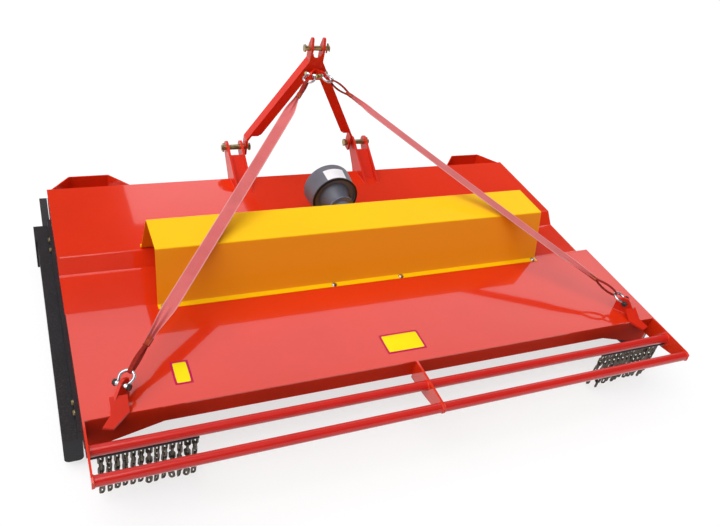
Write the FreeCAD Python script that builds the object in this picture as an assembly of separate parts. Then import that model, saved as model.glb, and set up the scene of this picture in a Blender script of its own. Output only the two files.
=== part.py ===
import FreeCAD, Part
import math
import os

from FreeCAD import Vector, Rotation, Placement

# Tractor-mounted two-rotor finishing mower, in millimetres.
# X runs to the right, Y forward to the tractor, Z up from the ground.
# While it is modelled, Y is measured from the rear edge of the deck; at the
# end every piece is moved back by ORIGIN_Y, so that the origin is under the
# middle of the whole machine.

# ---- deck ---------------------------------------------------------------
DECK_WIDTH = 2700.0
DECK_DEPTH = 1510.0
DECK_HEIGHT = 300.0          # top of the deck above the ground
SHEET = 6.0                  # deck and skirt sheet
BEND = 5.0                   # inside radius of every sheet fold
CHANNEL_REAR = 572.0         # rear lip of the cross channel
CHANNEL_FRONT = 952.0        # front lip of the cross channel
CHANNEL_DROP = 58.0
CHANNEL_RISER = 58.0         # depth over which each side of it slopes
SIDE_SHEET = 8.0             # side plates
SIDE_DEPTH = 155.0           # side plate below the deck top

# ---- skirts -------------------------------------------------------------
REAR_SKIRT = 82.0            # drop of the rear skirt along the middle
REAR_SKIRT_END = 146.0       # drop of the rear skirt at both ends
SKIRT_END_FLAT = 67.0        # deepest stretch, from the side plate inwards
SKIRT_SLOPE = 215.0          # length of the slope beside it
FRONT_SKIRT = 110.0
FRONT_FLANGE = 40.0          # stiffening flange under the front plate
SIDE_TOE = 60.0              # cut corner of a side plate, low at the front

# ---- rear guard ---------------------------------------------------------
GUARD_TUBE_R = 21.0
GUARD_WALL = 3.0
INNER_TUBE_Y = -115.0
INNER_TUBE_DROP = 30.0       # tube axis below the deck top
OUTER_TUBE_Y = -246.0
OUTER_TUBE_DROP = 24.0
ARM_ROOT_DROP = 101.0        # lower edge of a guard arm at the skirt
ARM_TIP_DROP = 66.0          # lower edge of a guard arm at its rear end
ARM_KNEE_DROP = 88.0         # lower edge of a guard arm at the inner tube
ARM_TIP = 18.0               # from the outer tube's axis to the arm's rear end
ARM_TIP_FLAT = 17.0          # half height of that end
CENTRE_ARM = 10.0            # thickness of the centre arm

# ---- chain curtains -----------------------------------------------------
CURTAIN_MARGIN = 24.0        # from the side plate to the first chain
CURTAIN_WIDTH = 360.0
CHAIN_COUNT = 13
LINK_PITCH = 28.0            # height that each link adds to a chain
LINK_COUNT = 7
CHAIN_STEPS = 4              # crossed plates that stand for the links of a chain
LINK_WIDE = 24.0
LINK_THICK = 8.0
RAIL_R = 10.0
RAIL_WELD = 6.0              # width of the weld blocks between a rail and the inner tube

# ---- front chain hoods --------------------------------------------------
HOOD_REACH = 108.0           # from the front skirt to the hood face
HOOD_MARGIN = 14.0           # from the side plate to the hood's outer end
HOOD_WIDTH = 378.0
HOOD_SLOPE_IN = 94.0         # width of the oblique inner side
HOOD_SLOPE_OUT = 90.0
HOOD_FLOOR_DROP = 92.0
HOOD_CHAIN_SHARE = 0.78      # line of the front chains, as a share of the hood's plan

# ---- skids --------------------------------------------------------------
SKID_WIDTH = 70.0
SKID_TOP_DROP = 143.0        # top of the runner below the deck top
SKID_FLANGE = 14.0           # thickness of the upstand along the side plate
SKID_FLANGE_DROP = 107.0     # its top below the deck top
SKID_ROUND = 20.0            # rounding of the runner's lower edges
SKID_REAR = 40.0             # rear end of the skid before the deck's rear edge
SKID_FRONT_SET = 65.0        # from its front end to the deck's front edge
SKID_CUT = 40.0              # cut corner, high at the front end
SKID_TOE = 165.0             # length of the rising front and rear ends
SKID_TOE_OUT = 10.0          # how much wider the rising front end is
SKID_LIFT = 62.0             # height of the front end over the ground
SKID_REAR_LIFT = 34.0
SKID_NOSE_REACH = 130.0      # tip of the nose bar before the deck's front edge
SKID_NOSE_DROP = 135.0       # tip of the nose bar below the deck top
SKID_NOSE_RISE = 120.0       # length of the rising stretch of the nose bar
SKID_NOSE_WIDTH = 36.0
SKID_NOSE_THICK = 12.0
SKID_BOLT_R = 9.0
SKID_BOLT_HEAD = 9.0
SKID_BOLTS_REAR = (113.0, 164.0)    # bolts from the skid's rear end
SKID_BOLTS_FRONT = (265.0, 187.0)   # bolts from the skid's front end

# ---- drive cover --------------------------------------------------------
COVER_INSET = 357.0          # from the side plate to an open end of the cover
COVER_HEIGHT = 246.0
COVER_TOP_REAR = 631.0
COVER_TOP_FRONT = 845.0
COVER_FOOT_REAR = 556.0
COVER_FOOT_FRONT = 968.0
COVER_LIP = 26.0
COVER_SHEET = 3.0

# ---- drive line ---------------------------------------------------------
DRIVE_HEIGHT = 140.0         # cross shafts and input above the deck top
CENTRE_BOX_X = 190.0
CENTRE_BOX_Y = 170.0
CENTRE_BOX_Z = 180.0
BOX_SOLE = 14.0              # sole plate under each gearbox
SOLE_MARGIN = 20.0           # its reach past the case
SIDE_BOX_X = 170.0
SIDE_BOX_Y = 170.0
SIDE_BOX_TOP = 214.0         # above the deck top
FLANGE_R = 62.0
FLANGE_THICK = 14.0
NECK_R = 46.0
NECK_REACH = 322.0           # front end of the input neck before the cross shafts
NECK_FLARE = 76.0            # length over which the neck widens to the bell
NECK_FLARE_R = 84.0
NECK_RING_R = 66.0           # bearing cap round the neck
NECK_RING = 14.0
NECK_RING_SET = 105.0        # its rear face behind the neck's front end
NECK_GAP = 5.0               # cover hole around the neck
STUB_R = 17.45               # 1 3/8 inch power take-off stub
STUB_LENGTH = 85.0
STUB_IN_NECK = 60.0
JOURNAL_R = 24.0             # thicker part of the stub that turns in the neck
JOURNAL_OUT = 8.0            # its reach before the neck
SHAFT_TUBE_R = 32.0
SHAFT_COLLAR_R = 48.0
SHAFT_COLLAR = 44.0
RUNNING = 0.06               # radial clearance of every running fit
SEAT = 0.3                   # gap at a seat between two bodies

# ---- input guard --------------------------------------------------------
BELL_SET = 16.0              # rear rim behind the neck's front end
BELL_LENGTH = 122.0
BELL_REAR_R = 116.0
BELL_FRONT_R = 129.0
BELL_WALL = 4.0
BELL_RIM = 5.0               # thickening of the rear rim
BELL_RIM_LENGTH = 7.0
BELL_HOLE_GAP = 6.0          # bell hole around the journal

# ---- rotors -------------------------------------------------------------
TIP_GAP = 20.0               # from the side plate to a blade tip circle
MID_GAP = 44.0               # between the two tip circles
SPINDLE_R = 25.0
HOUSING_R = 72.0
HOUSING_DEPTH = 44.0         # below the deck sheet
HOUSING_RING_R = 100.0       # bolting ring against the deck
HOUSING_RING = 12.0
SPINDLE_ROOF = 8.0           # housing over the end of the spindle's bore
HUB_R = 60.0
CARRIER_Z = 140.0            # underside of the carrier above the ground
CARRIER_THICK = 14.0
CARRIER_WIDTH = 120.0
CARRIER_SET = 170.0          # from the blade tip to the carrier's end
BLADE_THICK = 9.0
BLADE_WIDTH = 90.0
BLADE_HOLD = 85.0            # blade under the carrier
BLADE_BOLT_SET = 45.0        # from the carrier's end to the blade bolt
BLADE_BOLT_R = 20.0
BLADE_BOLT_HEAD = 12.0
DISH_R = 150.0
DISH_LOW_R = 108.0
DISH_DROP = 46.0

# ---- lower hitch --------------------------------------------------------
HITCH_PLATE = 12.0
HITCH_X = 376.0              # middle between the two plates
HITCH_GAP = 66.0             # between the two plates
PIN_REACH = 132.0            # pin axis before the deck's front edge
PIN_HEIGHT = 118.0           # pin axis above the deck top
PIN_R = 14.3                 # category 2 lower pin
PIN_PAST_FOOT = 14.0         # pin end past the mast foot
PIN_PAST_PLATE = 23.0        # pin end past the outer plate
PIN_HEAD_R = 21.0
PIN_HEAD = 8.0
CLIP_R = 4.0
CLIP_LENGTH = 52.0
NOSE_R = 36.0
HITCH_FOOT = 150.0           # foot of a plate on the deck, from its front edge
HITCH_HEEL = 60.0            # where the lower edge leaves the deck's level
HITCH_SKIRT_DROP = 78.0
HITCH_WEB = 10.0
HITCH_WEB_FOOT = 60.0        # foot of the web before the plates' rear ends
HITCH_WEB_GAP = 66.0         # from the web's top to the pin axis

# ---- mast (A-frame) -----------------------------------------------------
MAST_HEIGHT = 612.0          # lower pin to top pin, along the mast
MAST_LEAN = 7.2              # degrees to the rear
BAR_WIDTH = 54.0
BAR_THICK = 12.0
EAR_GAP = 52.0
FOOT_GAP = 13.0              # between a mast foot and the inner hitch plate
FOOT_STRAIGHT = 62.0
EAR_STRAIGHT = 64.0          # upright stretch of a leg below the top pin
EAR_TOP = 60.0               # over the top pin
EAR_TIP_R = 13.0
EAR_TAPER_FROM = 8.0         # over the top pin, where the ears start to narrow
FLANGE_WIDTH = 46.0
LEG_FLANGE_THICK = 8.0
LEG_FLANGE_FROM = 88.0       # lower end of the flange above the lower pin
LEG_FLANGE_RISE = 12.0       # height of its cut lower end
LEG_FLANGE_TIP = 34.0        # width left at that end
TOP_PIN_R = 12.7             # category 2 top pin
TOP_PIN_HALF = 70.0
TOP_PIN_HEAD_R = 18.7
GUSSET = 108.0               # height of the gusset below the bend of the legs
WEB_DROP = 22.0              # top of the web below the top pin
NOTCH_R = 21.0
WEB_LAP = 20.0               # web below the gusset's upper edge
LUG_X = 32.0                 # hole of a strap lug
LUG_THICK = 10.0
LUG_DROP = 50.0              # hole below the bend of the legs
LUG_REACH = 42.0             # hole behind the gusset
LUG_R = 17.0

# ---- straps and shackles ------------------------------------------------
STRAP_WIDTH = 58.0
STRAP_THICK = 4.0
STRAP_TAPER_LOW = 290.0      # gathered stretch at the bracket end
STRAP_TAPER_TOP = 210.0      # gathered stretch at the mast end
EYE_WIDTH = 20.0
EYE_LENGTH = 110.0
EYE_OPEN = 60.0
SHACKLE_ROD_R = 6.5
SHACKLE_GAP = 24.0           # between its eyes, at the pin
SHACKLE_BOW_R = 21.0         # inside radius of its bow
SHACKLE_LENGTH = 62.0        # pin axis to the middle of the rod at the bow's top
SHACKLE_PIN_R = 6.5
SHACKLE_PIN_HALF = 32.0
SHACKLE_BOSS = 13.0          # eye of a shackle, along its pin
SHACKLE_BOSS_R = 11.0
BRACKET_INSET = 142.0        # from the side plate to the bracket's hole
BRACKET_Y = 84.0
BRACKET_HEIGHT = 62.0        # hole above the deck top
BRACKET_THICK = 12.0
BRACKET_FRONT = 40.0
BRACKET_REAR = 58.0          # rear end of the lug behind the hole
BRACKET_BACK = 30.0          # top of that end below the hole
BRACKET_TOP = 20.0
RAMP_SHEET = 8.0             # sloping plate through the lug, over the deck's rear edge
RAMP_REACH = 56.0            # its front edge before the rear edge of the deck
RAMP_RISE = 36.0             # its rise over that reach
RAMP_IN = 14.0               # its inner side, from the hole inwards
RAMP_OUT = 50.0              # its outer side, from the hole outwards
RAMP_TAIL = 45.0             # reach of its tongue behind the deck
RAMP_TAIL_OUT = 36.0         # how far the tongue turns outwards
RAMP_TAIL_SKEW = 9.0

# ---- derived ------------------------------------------------------------
HALF = DECK_WIDTH / 2.0
INSIDE = HALF - SIDE_SHEET
TOP = DECK_HEIGHT
FLOOR = TOP - CHANNEL_DROP
CHAIN_OUT = INSIDE - CURTAIN_MARGIN
CHAIN_IN = CHAIN_OUT - CURTAIN_WIDTH
SKID_FRONT = DECK_DEPTH - SKID_FRONT_SET
COVER_HALF = INSIDE - COVER_INSET
DRIVE_Y = (COVER_TOP_REAR + COVER_TOP_FRONT) / 2.0
DRIVE_Z = TOP + DRIVE_HEIGHT
NECK_FRONT = DRIVE_Y + NECK_REACH
BELL_REAR = NECK_FRONT - BELL_SET
BELL_FRONT = BELL_REAR + BELL_LENGTH
ROTOR_X = (INSIDE - TIP_GAP + MID_GAP / 2.0) / 2.0
ROTOR_R = ROTOR_X - MID_GAP / 2.0
CARRIER_HALF = ROTOR_R - CARRIER_SET
PIN_Y = DECK_DEPTH + PIN_REACH
PIN_Z = TOP + PIN_HEIGHT
HITCH_INNER_X = HITCH_X - (HITCH_GAP + HITCH_PLATE) / 2.0
HITCH_OUTER_X = HITCH_X + (HITCH_GAP + HITCH_PLATE) / 2.0
HITCH_REAR = DECK_DEPTH - HITCH_FOOT
FOOT_X = HITCH_INNER_X - (HITCH_PLATE + BAR_THICK) / 2.0 - FOOT_GAP
PIN_INNER_END = FOOT_X - BAR_THICK / 2.0 - PIN_PAST_FOOT
PIN_OUTER_END = HITCH_OUTER_X + HITCH_PLATE / 2.0 + PIN_PAST_PLATE
EAR_OUT = EAR_GAP / 2.0 + BAR_THICK
LEG_BEND = MAST_HEIGHT - EAR_STRAIGHT
GUSSET_LOW = LEG_BEND - GUSSET
WEB_TOP = MAST_HEIGHT - WEB_DROP
LUG_HEIGHT = LEG_BEND - LUG_DROP
BRACKET_X = INSIDE - BRACKET_INSET
GUARD_END = OUTER_TUBE_Y - GUARD_TUBE_R
FRONT_END = PIN_Y + NOSE_R
RAIL_DROP = INNER_TUBE_DROP + GUARD_TUBE_R + RAIL_R + SEAT
ORIGIN_Y = (GUARD_END + FRONT_END) / 2.0

X_AXIS = Vector(1, 0, 0)
Y_AXIS = Vector(0, 1, 0)
Z_AXIS = Vector(0, 0, 1)


# ---- helpers ------------------------------------------------------------
def block(x0, x1, y0, y1, z0, z1):
    """Box between two corners."""
    return Part.makeBox(x1 - x0, y1 - y0, z1 - z0, Vector(x0, y0, z0))


def rod(start, axis, radius, length):
    """Cylinder from a point along an axis."""
    return Part.makeCylinder(radius, length, start, axis)


def in_plane(plane, u, v):
    """Point of a profile drawn in the plane YZ, XZ or XY."""
    if plane == "YZ":
        return Vector(0, u, v)
    if plane == "XZ":
        return Vector(u, 0, v)
    return Vector(u, v, 0)


def plate(plane, outline, start, thick):
    """Flat plate with straight edges, extruded from start along its normal."""
    normal = {"YZ": X_AXIS, "XZ": Y_AXIS, "XY": Z_AXIS}[plane]
    corners = [in_plane(plane, u, v) + normal * start for u, v in outline]
    corners.append(corners[0])
    return Part.Face(Part.makePolygon(corners)).extrude(normal * thick)


def folded(plane, line, sheet, start, length):
    """Sheet folded along a line of points; it lies to the right of the line."""
    normal = {"YZ": X_AXIS, "XZ": Y_AXIS, "XY": Z_AXIS}[plane]
    dirs = []
    for (u0, v0), (u1, v1) in zip(line, line[1:]):
        size = math.hypot(u1 - u0, v1 - v0)
        dirs.append(((u1 - u0) / size, (v1 - v0) / size))

    def side(offset):
        """The line's own side (offset 0) or the far side of the sheet."""
        path = [(line[0][0] + dirs[0][1] * offset, line[0][1] - dirs[0][0] * offset)]
        arcs = [None]
        for i in range(1, len(line) - 1):
            (au, av), (bu, bv) = dirs[i - 1], dirs[i]
            turn = math.atan2(au * bv - av * bu, au * bu + av * bv)
            left = turn > 0
            near = BEND if left else BEND + sheet
            cut = near * math.tan(abs(turn) / 2.0)
            su, sv = line[i][0] - au * cut, line[i][1] - av * cut
            eu, ev = line[i][0] + bu * cut, line[i][1] + bv * cut
            sign = 1.0 if left else -1.0
            cu, cv = su - av * near * sign, sv + au * near * sign
            radius = near + sign * offset
            reach = math.hypot(line[i][0] - cu, line[i][1] - cv)
            mid = (cu + (line[i][0] - cu) * radius / reach,
                   cv + (line[i][1] - cv) * radius / reach)
            path.append((su + av * offset, sv - au * offset))
            arcs.append(mid)
            path.append((eu + bv * offset, ev - bu * offset))
            arcs.append(None)
        path.append((line[-1][0] + dirs[-1][1] * offset, line[-1][1] - dirs[-1][0] * offset))
        arcs.append(None)
        return path, arcs

    def edges(path, arcs):
        made = []
        for i in range(len(path) - 1):
            a = in_plane(plane, *path[i]) + normal * start
            b = in_plane(plane, *path[i + 1]) + normal * start
            if arcs[i] is None:
                made.append(Part.makeLine(a, b))
            else:
                mid = in_plane(plane, *arcs[i]) + normal * start
                made.append(Part.Arc(a, mid, b).toShape())
        return made

    near_path, near_arcs = side(0.0)
    far_path, far_arcs = side(sheet)
    near_edges = edges(near_path, near_arcs)
    far_edges = edges(far_path, far_arcs)
    first = in_plane(plane, *near_path[0]) + normal * start
    first_far = in_plane(plane, *far_path[0]) + normal * start
    last = in_plane(plane, *near_path[-1]) + normal * start
    last_far = in_plane(plane, *far_path[-1]) + normal * start
    ring = near_edges + [Part.makeLine(last, last_far)]
    ring += far_edges + [Part.makeLine(first_far, first)]
    wire = Part.Wire(Part.__sortEdges__(ring))
    return Part.Face(wire).extrude(normal * length)


def mirrored(shape):
    """The same piece on the left side."""
    return shape.mirror(Vector(0, 0, 0), X_AXIS)


def joined(shapes):
    """One solid out of pieces that meet."""
    return shapes[0].multiFuse(shapes[1:]).removeSplitter()


def save(name, shape):
    moved = shape.copy()
    moved.translate(Vector(0, -ORIGIN_Y, 0))
    moved.exportStep("parts/" + name + ".step")


def save_pair(name, right):
    """Right piece and its mirror image, as two nodes."""
    save(name + "_right", right)
    save(name + "_left", mirrored(right))


# ---- deck and skirts ----------------------------------------------------
def deck_line():
    """Profile of the deck from the rear: panel, sunk cross channel, panel."""
    return [(0.0, TOP),
            (CHANNEL_REAR, TOP),
            (CHANNEL_REAR + CHANNEL_RISER, FLOOR),
            (CHANNEL_FRONT - CHANNEL_RISER, FLOOR),
            (CHANNEL_FRONT, TOP),
            (DECK_DEPTH, TOP)]


def deck_sheet():
    """Front and rear panels with the sunk cross channel between them."""
    return folded("YZ", deck_line(), SHEET, -INSIDE, 2.0 * INSIDE)


def rear_skirt():
    """Vertical skirt that deepens towards both ends."""
    low = TOP - REAR_SKIRT
    deep = TOP - REAR_SKIRT_END
    high = TOP - SHEET
    knee_out = INSIDE - SKIRT_END_FLAT
    knee_in = knee_out - SKIRT_SLOPE
    outline = [(-INSIDE, high), (-INSIDE, deep), (-knee_out, deep), (-knee_in, low),
               (knee_in, low), (knee_out, deep), (INSIDE, deep), (INSIDE, high)]
    return plate("XZ", outline, 0.0, SHEET)


def front_skirt():
    """Front plate with a stiffening flange turned to the rear."""
    back = DECK_DEPTH - FRONT_FLANGE
    low = TOP - FRONT_SKIRT
    line = [(back, low), (DECK_DEPTH, low), (DECK_DEPTH, TOP - SHEET)]
    return folded("YZ", [(u, v) for u, v in reversed(line)], SHEET, -INSIDE, 2.0 * INSIDE)


def arm_outline():
    """Guard arm behind the deck, from the skirt to its short upright end."""
    tip = TOP - OUTER_TUBE_DROP
    return [(0.0, TOP - ARM_ROOT_DROP),
            (INNER_TUBE_Y, TOP - ARM_KNEE_DROP),
            (OUTER_TUBE_Y + ARM_TIP, TOP - ARM_TIP_DROP),
            (OUTER_TUBE_Y - ARM_TIP, tip - ARM_TIP_FLAT),
            (OUTER_TUBE_Y - ARM_TIP, tip + ARM_TIP_FLAT),
            (OUTER_TUBE_Y, TOP),
            (0.0, TOP)]


def side_plate():
    """Right side below the deck's profile, carried on to the rear as a guard arm."""
    low = TOP - SIDE_DEPTH
    outline = arm_outline() + deck_line()[1:]
    outline += [(DECK_DEPTH, low + SIDE_TOE), (DECK_DEPTH - SIDE_TOE, low), (0.0, low)]
    return plate("YZ", outline, INSIDE, SIDE_SHEET)


def guard_tubes():
    """The two long tubes of the rear guard, right through the centre arm."""
    tubes = []
    for y, drop in ((INNER_TUBE_Y, INNER_TUBE_DROP), (OUTER_TUBE_Y, OUTER_TUBE_DROP)):
        start = Vector(-INSIDE, y, TOP - drop)
        outer = rod(start, X_AXIS, GUARD_TUBE_R, 2.0 * INSIDE)
        inner = rod(start, X_AXIS, GUARD_TUBE_R - GUARD_WALL, 2.0 * INSIDE)
        tubes.append(outer.cut(inner))
    return tubes


def centre_arm():
    """Middle plate of the guard, drilled for both tubes."""
    outline = arm_outline()
    arm = plate("YZ", outline, -CENTRE_ARM / 2.0, CENTRE_ARM)
    for y, drop in ((INNER_TUBE_Y, INNER_TUBE_DROP), (OUTER_TUBE_Y, OUTER_TUBE_DROP)):
        start = Vector(-CENTRE_ARM, y, TOP - drop)
        arm = arm.cut(rod(start, X_AXIS, GUARD_TUBE_R + RUNNING, 2.0 * CENTRE_ARM))
    return arm


# ---- chain curtains -----------------------------------------------------
def chain(x, y, top):
    """One hanging chain: flat plates, each turned a quarter from the last."""
    links = []
    rise = LINK_COUNT * LINK_PITCH / CHAIN_STEPS
    for i in range(CHAIN_STEPS):
        z1 = top - i * rise
        z0 = z1 - rise
        wide, thin = LINK_WIDE / 2.0, LINK_THICK / 2.0
        if i % 2 == 0:
            links.append(block(x - thin, x + thin, y - wide, y + wide, z0, z1))
        else:
            links.append(block(x - wide, x + wide, y - thin, y + thin, z0, z1))
    return joined(links)


def chain_row(y, top):
    """All chains of one curtain on the right side."""
    step = (CURTAIN_WIDTH - LINK_WIDE) / (CHAIN_COUNT - 1)
    first = CHAIN_IN + LINK_WIDE / 2.0
    return [chain(first + i * step, y, top) for i in range(CHAIN_COUNT)]


def rear_rail():
    """Black rod that carries a rear curtain, welded under the inner guard tube."""
    z = TOP - RAIL_DROP
    bar = rod(Vector(CHAIN_IN, INNER_TUBE_Y, z), X_AXIS, RAIL_R, INSIDE - CHAIN_IN)
    tube = rod(Vector(CHAIN_IN, INNER_TUBE_Y, TOP - INNER_TUBE_DROP), X_AXIS,
               GUARD_TUBE_R, INSIDE - CHAIN_IN)
    half = RAIL_WELD / 2.0
    welds = [block(x, x + RAIL_WELD, INNER_TUBE_Y - half, INNER_TUBE_Y + half, z, z + 2.0 * RAIL_R)
             for x in (CHAIN_IN, (CHAIN_IN + CHAIN_OUT) / 2.0)]
    return joined([bar] + welds).cut(tube)


def hood_line(share):
    """Plan of the right hood from its inner end outwards, drawn in by a share."""
    face = DECK_DEPTH + HOOD_REACH
    last = INSIDE - HOOD_MARGIN
    first = last - HOOD_WIDTH
    middle = (first + last) / 2.0
    line = [(first, DECK_DEPTH), (first + HOOD_SLOPE_IN, face),
            (last - HOOD_SLOPE_OUT, face), (last, DECK_DEPTH)]
    return [(middle + (x - middle) * share, DECK_DEPTH + (y - DECK_DEPTH) * share)
            for x, y in line]


def front_chains():
    """Chains of the right front curtain, evenly round the inside of the hood."""
    corners = [Vector(x, y, 0) for x, y in hood_line(HOOD_CHAIN_SHARE)]
    places = Part.makePolygon(corners).discretize(Number=CHAIN_COUNT + 2)[1:-1]
    return [chain(p.x, p.y, TOP - HOOD_FLOOR_DROP) for p in places]


def front_hood():
    """Strip folded round a front chain curtain, and the floor that carries it."""
    low = TOP - HOOD_FLOOR_DROP
    strip = folded("XY", hood_line(1.0), SHEET, low, HOOD_FLOOR_DROP)
    floor = plate("XY", hood_line(1.0 - SHEET / (2.0 * HOOD_REACH)), low, SHEET)
    under_deck = block(0.0, 2.0 * HALF, 0.0, DECK_DEPTH, 0.0, 2.0 * TOP)
    return joined([strip, floor]).cut(under_deck)


# ---- skids --------------------------------------------------------------
def skid():
    """Right skid: a runner with rising ends, an upstand and a nose bar."""
    top = TOP - SKID_TOP_DROP
    outline = [(SKID_REAR, SKID_REAR_LIFT), (SKID_REAR, top), (SKID_FRONT - SKID_CUT, top),
               (SKID_FRONT, top - SKID_CUT), (SKID_FRONT, SKID_LIFT),
               (SKID_FRONT - SKID_TOE, 0.0), (SKID_REAR + SKID_TOE, 0.0)]
    runner = plate("YZ", outline, HALF, SKID_WIDTH)
    under = [e for e in runner.Edges if e.BoundBox.XLength < 0.1 and e.BoundBox.YLength > SKID_CUT
             and e.BoundBox.ZMax < top - SKID_CUT]
    runner = runner.makeFillet(SKID_ROUND, under)
    toe = plate("YZ", [(SKID_FRONT - SKID_TOE, 0.0), (SKID_FRONT - SKID_TOE, top),
                       (SKID_FRONT - SKID_CUT, top), (SKID_FRONT, top - SKID_CUT),
                       (SKID_FRONT, SKID_LIFT)], HALF, SKID_WIDTH + SKID_TOE_OUT)
    upstand = block(HALF, HALF + SKID_FLANGE, SKID_REAR, SKID_FRONT - SKID_CUT,
                    top - SKID_CUT, TOP - SKID_FLANGE_DROP)
    tip = TOP - SKID_NOSE_DROP
    line = [(SKID_FRONT - SKID_NOSE_THICK, SKID_LIFT + SKID_NOSE_THICK),
            (SKID_FRONT + SKID_NOSE_RISE, tip - SKID_CUT),
            (DECK_DEPTH + SKID_NOSE_REACH, tip)]
    nose = folded("YZ", line, SKID_NOSE_THICK, HALF, SKID_NOSE_WIDTH)
    return joined([runner, toe, upstand, nose])


def skid_bolts():
    """Bolt heads on the upstand that hold the right skid to the side plate."""
    z = TOP - (SKID_TOP_DROP + SKID_FLANGE_DROP) / 2.0
    places = [SKID_REAR + d for d in SKID_BOLTS_REAR] + [SKID_FRONT - d for d in SKID_BOLTS_FRONT]
    return [rod(Vector(HALF + SKID_FLANGE, y, z), X_AXIS, SKID_BOLT_R, SKID_BOLT_HEAD)
            for y in places]


# ---- drive --------------------------------------------------------------
def drive_cover():
    """Folded yellow cover over the cross channel, open at both ends."""
    crest = TOP + COVER_HEIGHT
    line = [(COVER_FOOT_REAR - COVER_LIP, TOP + COVER_SHEET),
            (COVER_FOOT_REAR, TOP + COVER_SHEET),
            (COVER_TOP_REAR, crest), (COVER_TOP_FRONT, crest),
            (COVER_FOOT_FRONT, TOP + COVER_SHEET),
            (COVER_FOOT_FRONT + COVER_LIP, TOP + COVER_SHEET)]
    cover = folded("YZ", line, COVER_SHEET, -COVER_HALF, 2.0 * COVER_HALF)
    neck_way = rod(Vector(0, DRIVE_Y, DRIVE_Z), Y_AXIS, NECK_R + NECK_GAP, DECK_DEPTH - DRIVE_Y)
    return cover.cut(neck_way)


def centre_gearbox():
    """Tee gearbox on a pedestal, with the input neck to the front."""
    hx, hy, hz = CENTRE_BOX_X / 2.0, CENTRE_BOX_Y / 2.0, CENTRE_BOX_Z / 2.0
    case = block(-hx, hx, DRIVE_Y - hy, DRIVE_Y + hy, DRIVE_Z - hz, DRIVE_Z + hz)
    foot = block(-hx + SOLE_MARGIN, hx - SOLE_MARGIN, DRIVE_Y - hy + SOLE_MARGIN,
                 DRIVE_Y + hy - SOLE_MARGIN, FLOOR, DRIVE_Z)
    sole = block(-hx - SOLE_MARGIN, hx + SOLE_MARGIN, DRIVE_Y - hy, DRIVE_Y + hy,
                 FLOOR, FLOOR + BOX_SOLE)
    neck = rod(Vector(0, DRIVE_Y, DRIVE_Z), Y_AXIS, NECK_R, NECK_REACH)
    flare = Part.makeCone(NECK_R, NECK_FLARE_R, NECK_FLARE,
                          Vector(0, NECK_FRONT - NECK_FLARE, DRIVE_Z), Y_AXIS)
    cap = rod(Vector(0, NECK_FRONT - NECK_RING_SET, DRIVE_Z), Y_AXIS, NECK_RING_R, NECK_RING)
    body = joined([case, foot, sole, neck, flare, cap])
    for side in (1.0, -1.0):
        flange = rod(Vector(side * (hx - 2.0), DRIVE_Y, DRIVE_Z), Vector(side, 0, 0),
                     FLANGE_R, FLANGE_THICK + 2.0)
        body = body.fuse(flange)
    bore = rod(Vector(0, NECK_FRONT - STUB_IN_NECK, DRIVE_Z), Y_AXIS,
               JOURNAL_R + RUNNING, 2.0 * STUB_IN_NECK)
    return body.cut(bore).removeSplitter()


def side_gearbox():
    """Right-angle gearbox over the right rotor, with its spindle housing."""
    hx, hy = SIDE_BOX_X / 2.0, SIDE_BOX_Y / 2.0
    case = block(ROTOR_X - hx, ROTOR_X + hx, DRIVE_Y - hy, DRIVE_Y + hy,
                 FLOOR + BOX_SOLE, TOP + SIDE_BOX_TOP)
    sole = block(ROTOR_X - hx - SOLE_MARGIN, ROTOR_X + hx + SOLE_MARGIN,
                 DRIVE_Y - hy, DRIVE_Y + hy, FLOOR, FLOOR + BOX_SOLE)
    flange = rod(Vector(ROTOR_X - hx + 2.0, DRIVE_Y, DRIVE_Z), Vector(-1, 0, 0),
                 FLANGE_R, FLANGE_THICK + 2.0)
    return joined([case, sole, flange])


def spindle_housing():
    """Bearing housing under the deck that carries the right rotor."""
    top = FLOOR - SHEET
    body = rod(Vector(ROTOR_X, DRIVE_Y, top - HOUSING_DEPTH), Z_AXIS, HOUSING_R, HOUSING_DEPTH)
    ring = rod(Vector(ROTOR_X, DRIVE_Y, top - HOUSING_RING), Z_AXIS, HOUSING_RING_R, HOUSING_RING)
    bore = rod(Vector(ROTOR_X, DRIVE_Y, top - HOUSING_DEPTH - 1.0), Z_AXIS,
               SPINDLE_R + RUNNING, HOUSING_DEPTH + 1.0 - SPINDLE_ROOF)
    return joined([body, ring]).cut(bore)


def cross_shaft():
    """Guarded shaft between the centre and the right gearbox."""
    x0 = CENTRE_BOX_X / 2.0 + FLANGE_THICK
    x1 = ROTOR_X - SIDE_BOX_X / 2.0 - FLANGE_THICK
    tube = rod(Vector(x0, DRIVE_Y, DRIVE_Z), X_AXIS, SHAFT_TUBE_R, x1 - x0)
    collars = [rod(Vector(x, DRIVE_Y, DRIVE_Z), X_AXIS, SHAFT_COLLAR_R, SHAFT_COLLAR)
               for x in (x0, x1 - SHAFT_COLLAR)]
    return joined([tube] + collars)


def input_stub():
    """Power take-off stub with the thicker journal that turns in the neck."""
    rear = NECK_FRONT - STUB_IN_NECK + 1.0
    shoulder = NECK_FRONT + JOURNAL_OUT
    journal = rod(Vector(0, rear, DRIVE_Z), Y_AXIS, JOURNAL_R, shoulder - rear)
    stub = rod(Vector(0, shoulder, DRIVE_Z), Y_AXIS, STUB_R, STUB_LENGTH - JOURNAL_OUT)
    return joined([journal, stub])


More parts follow.
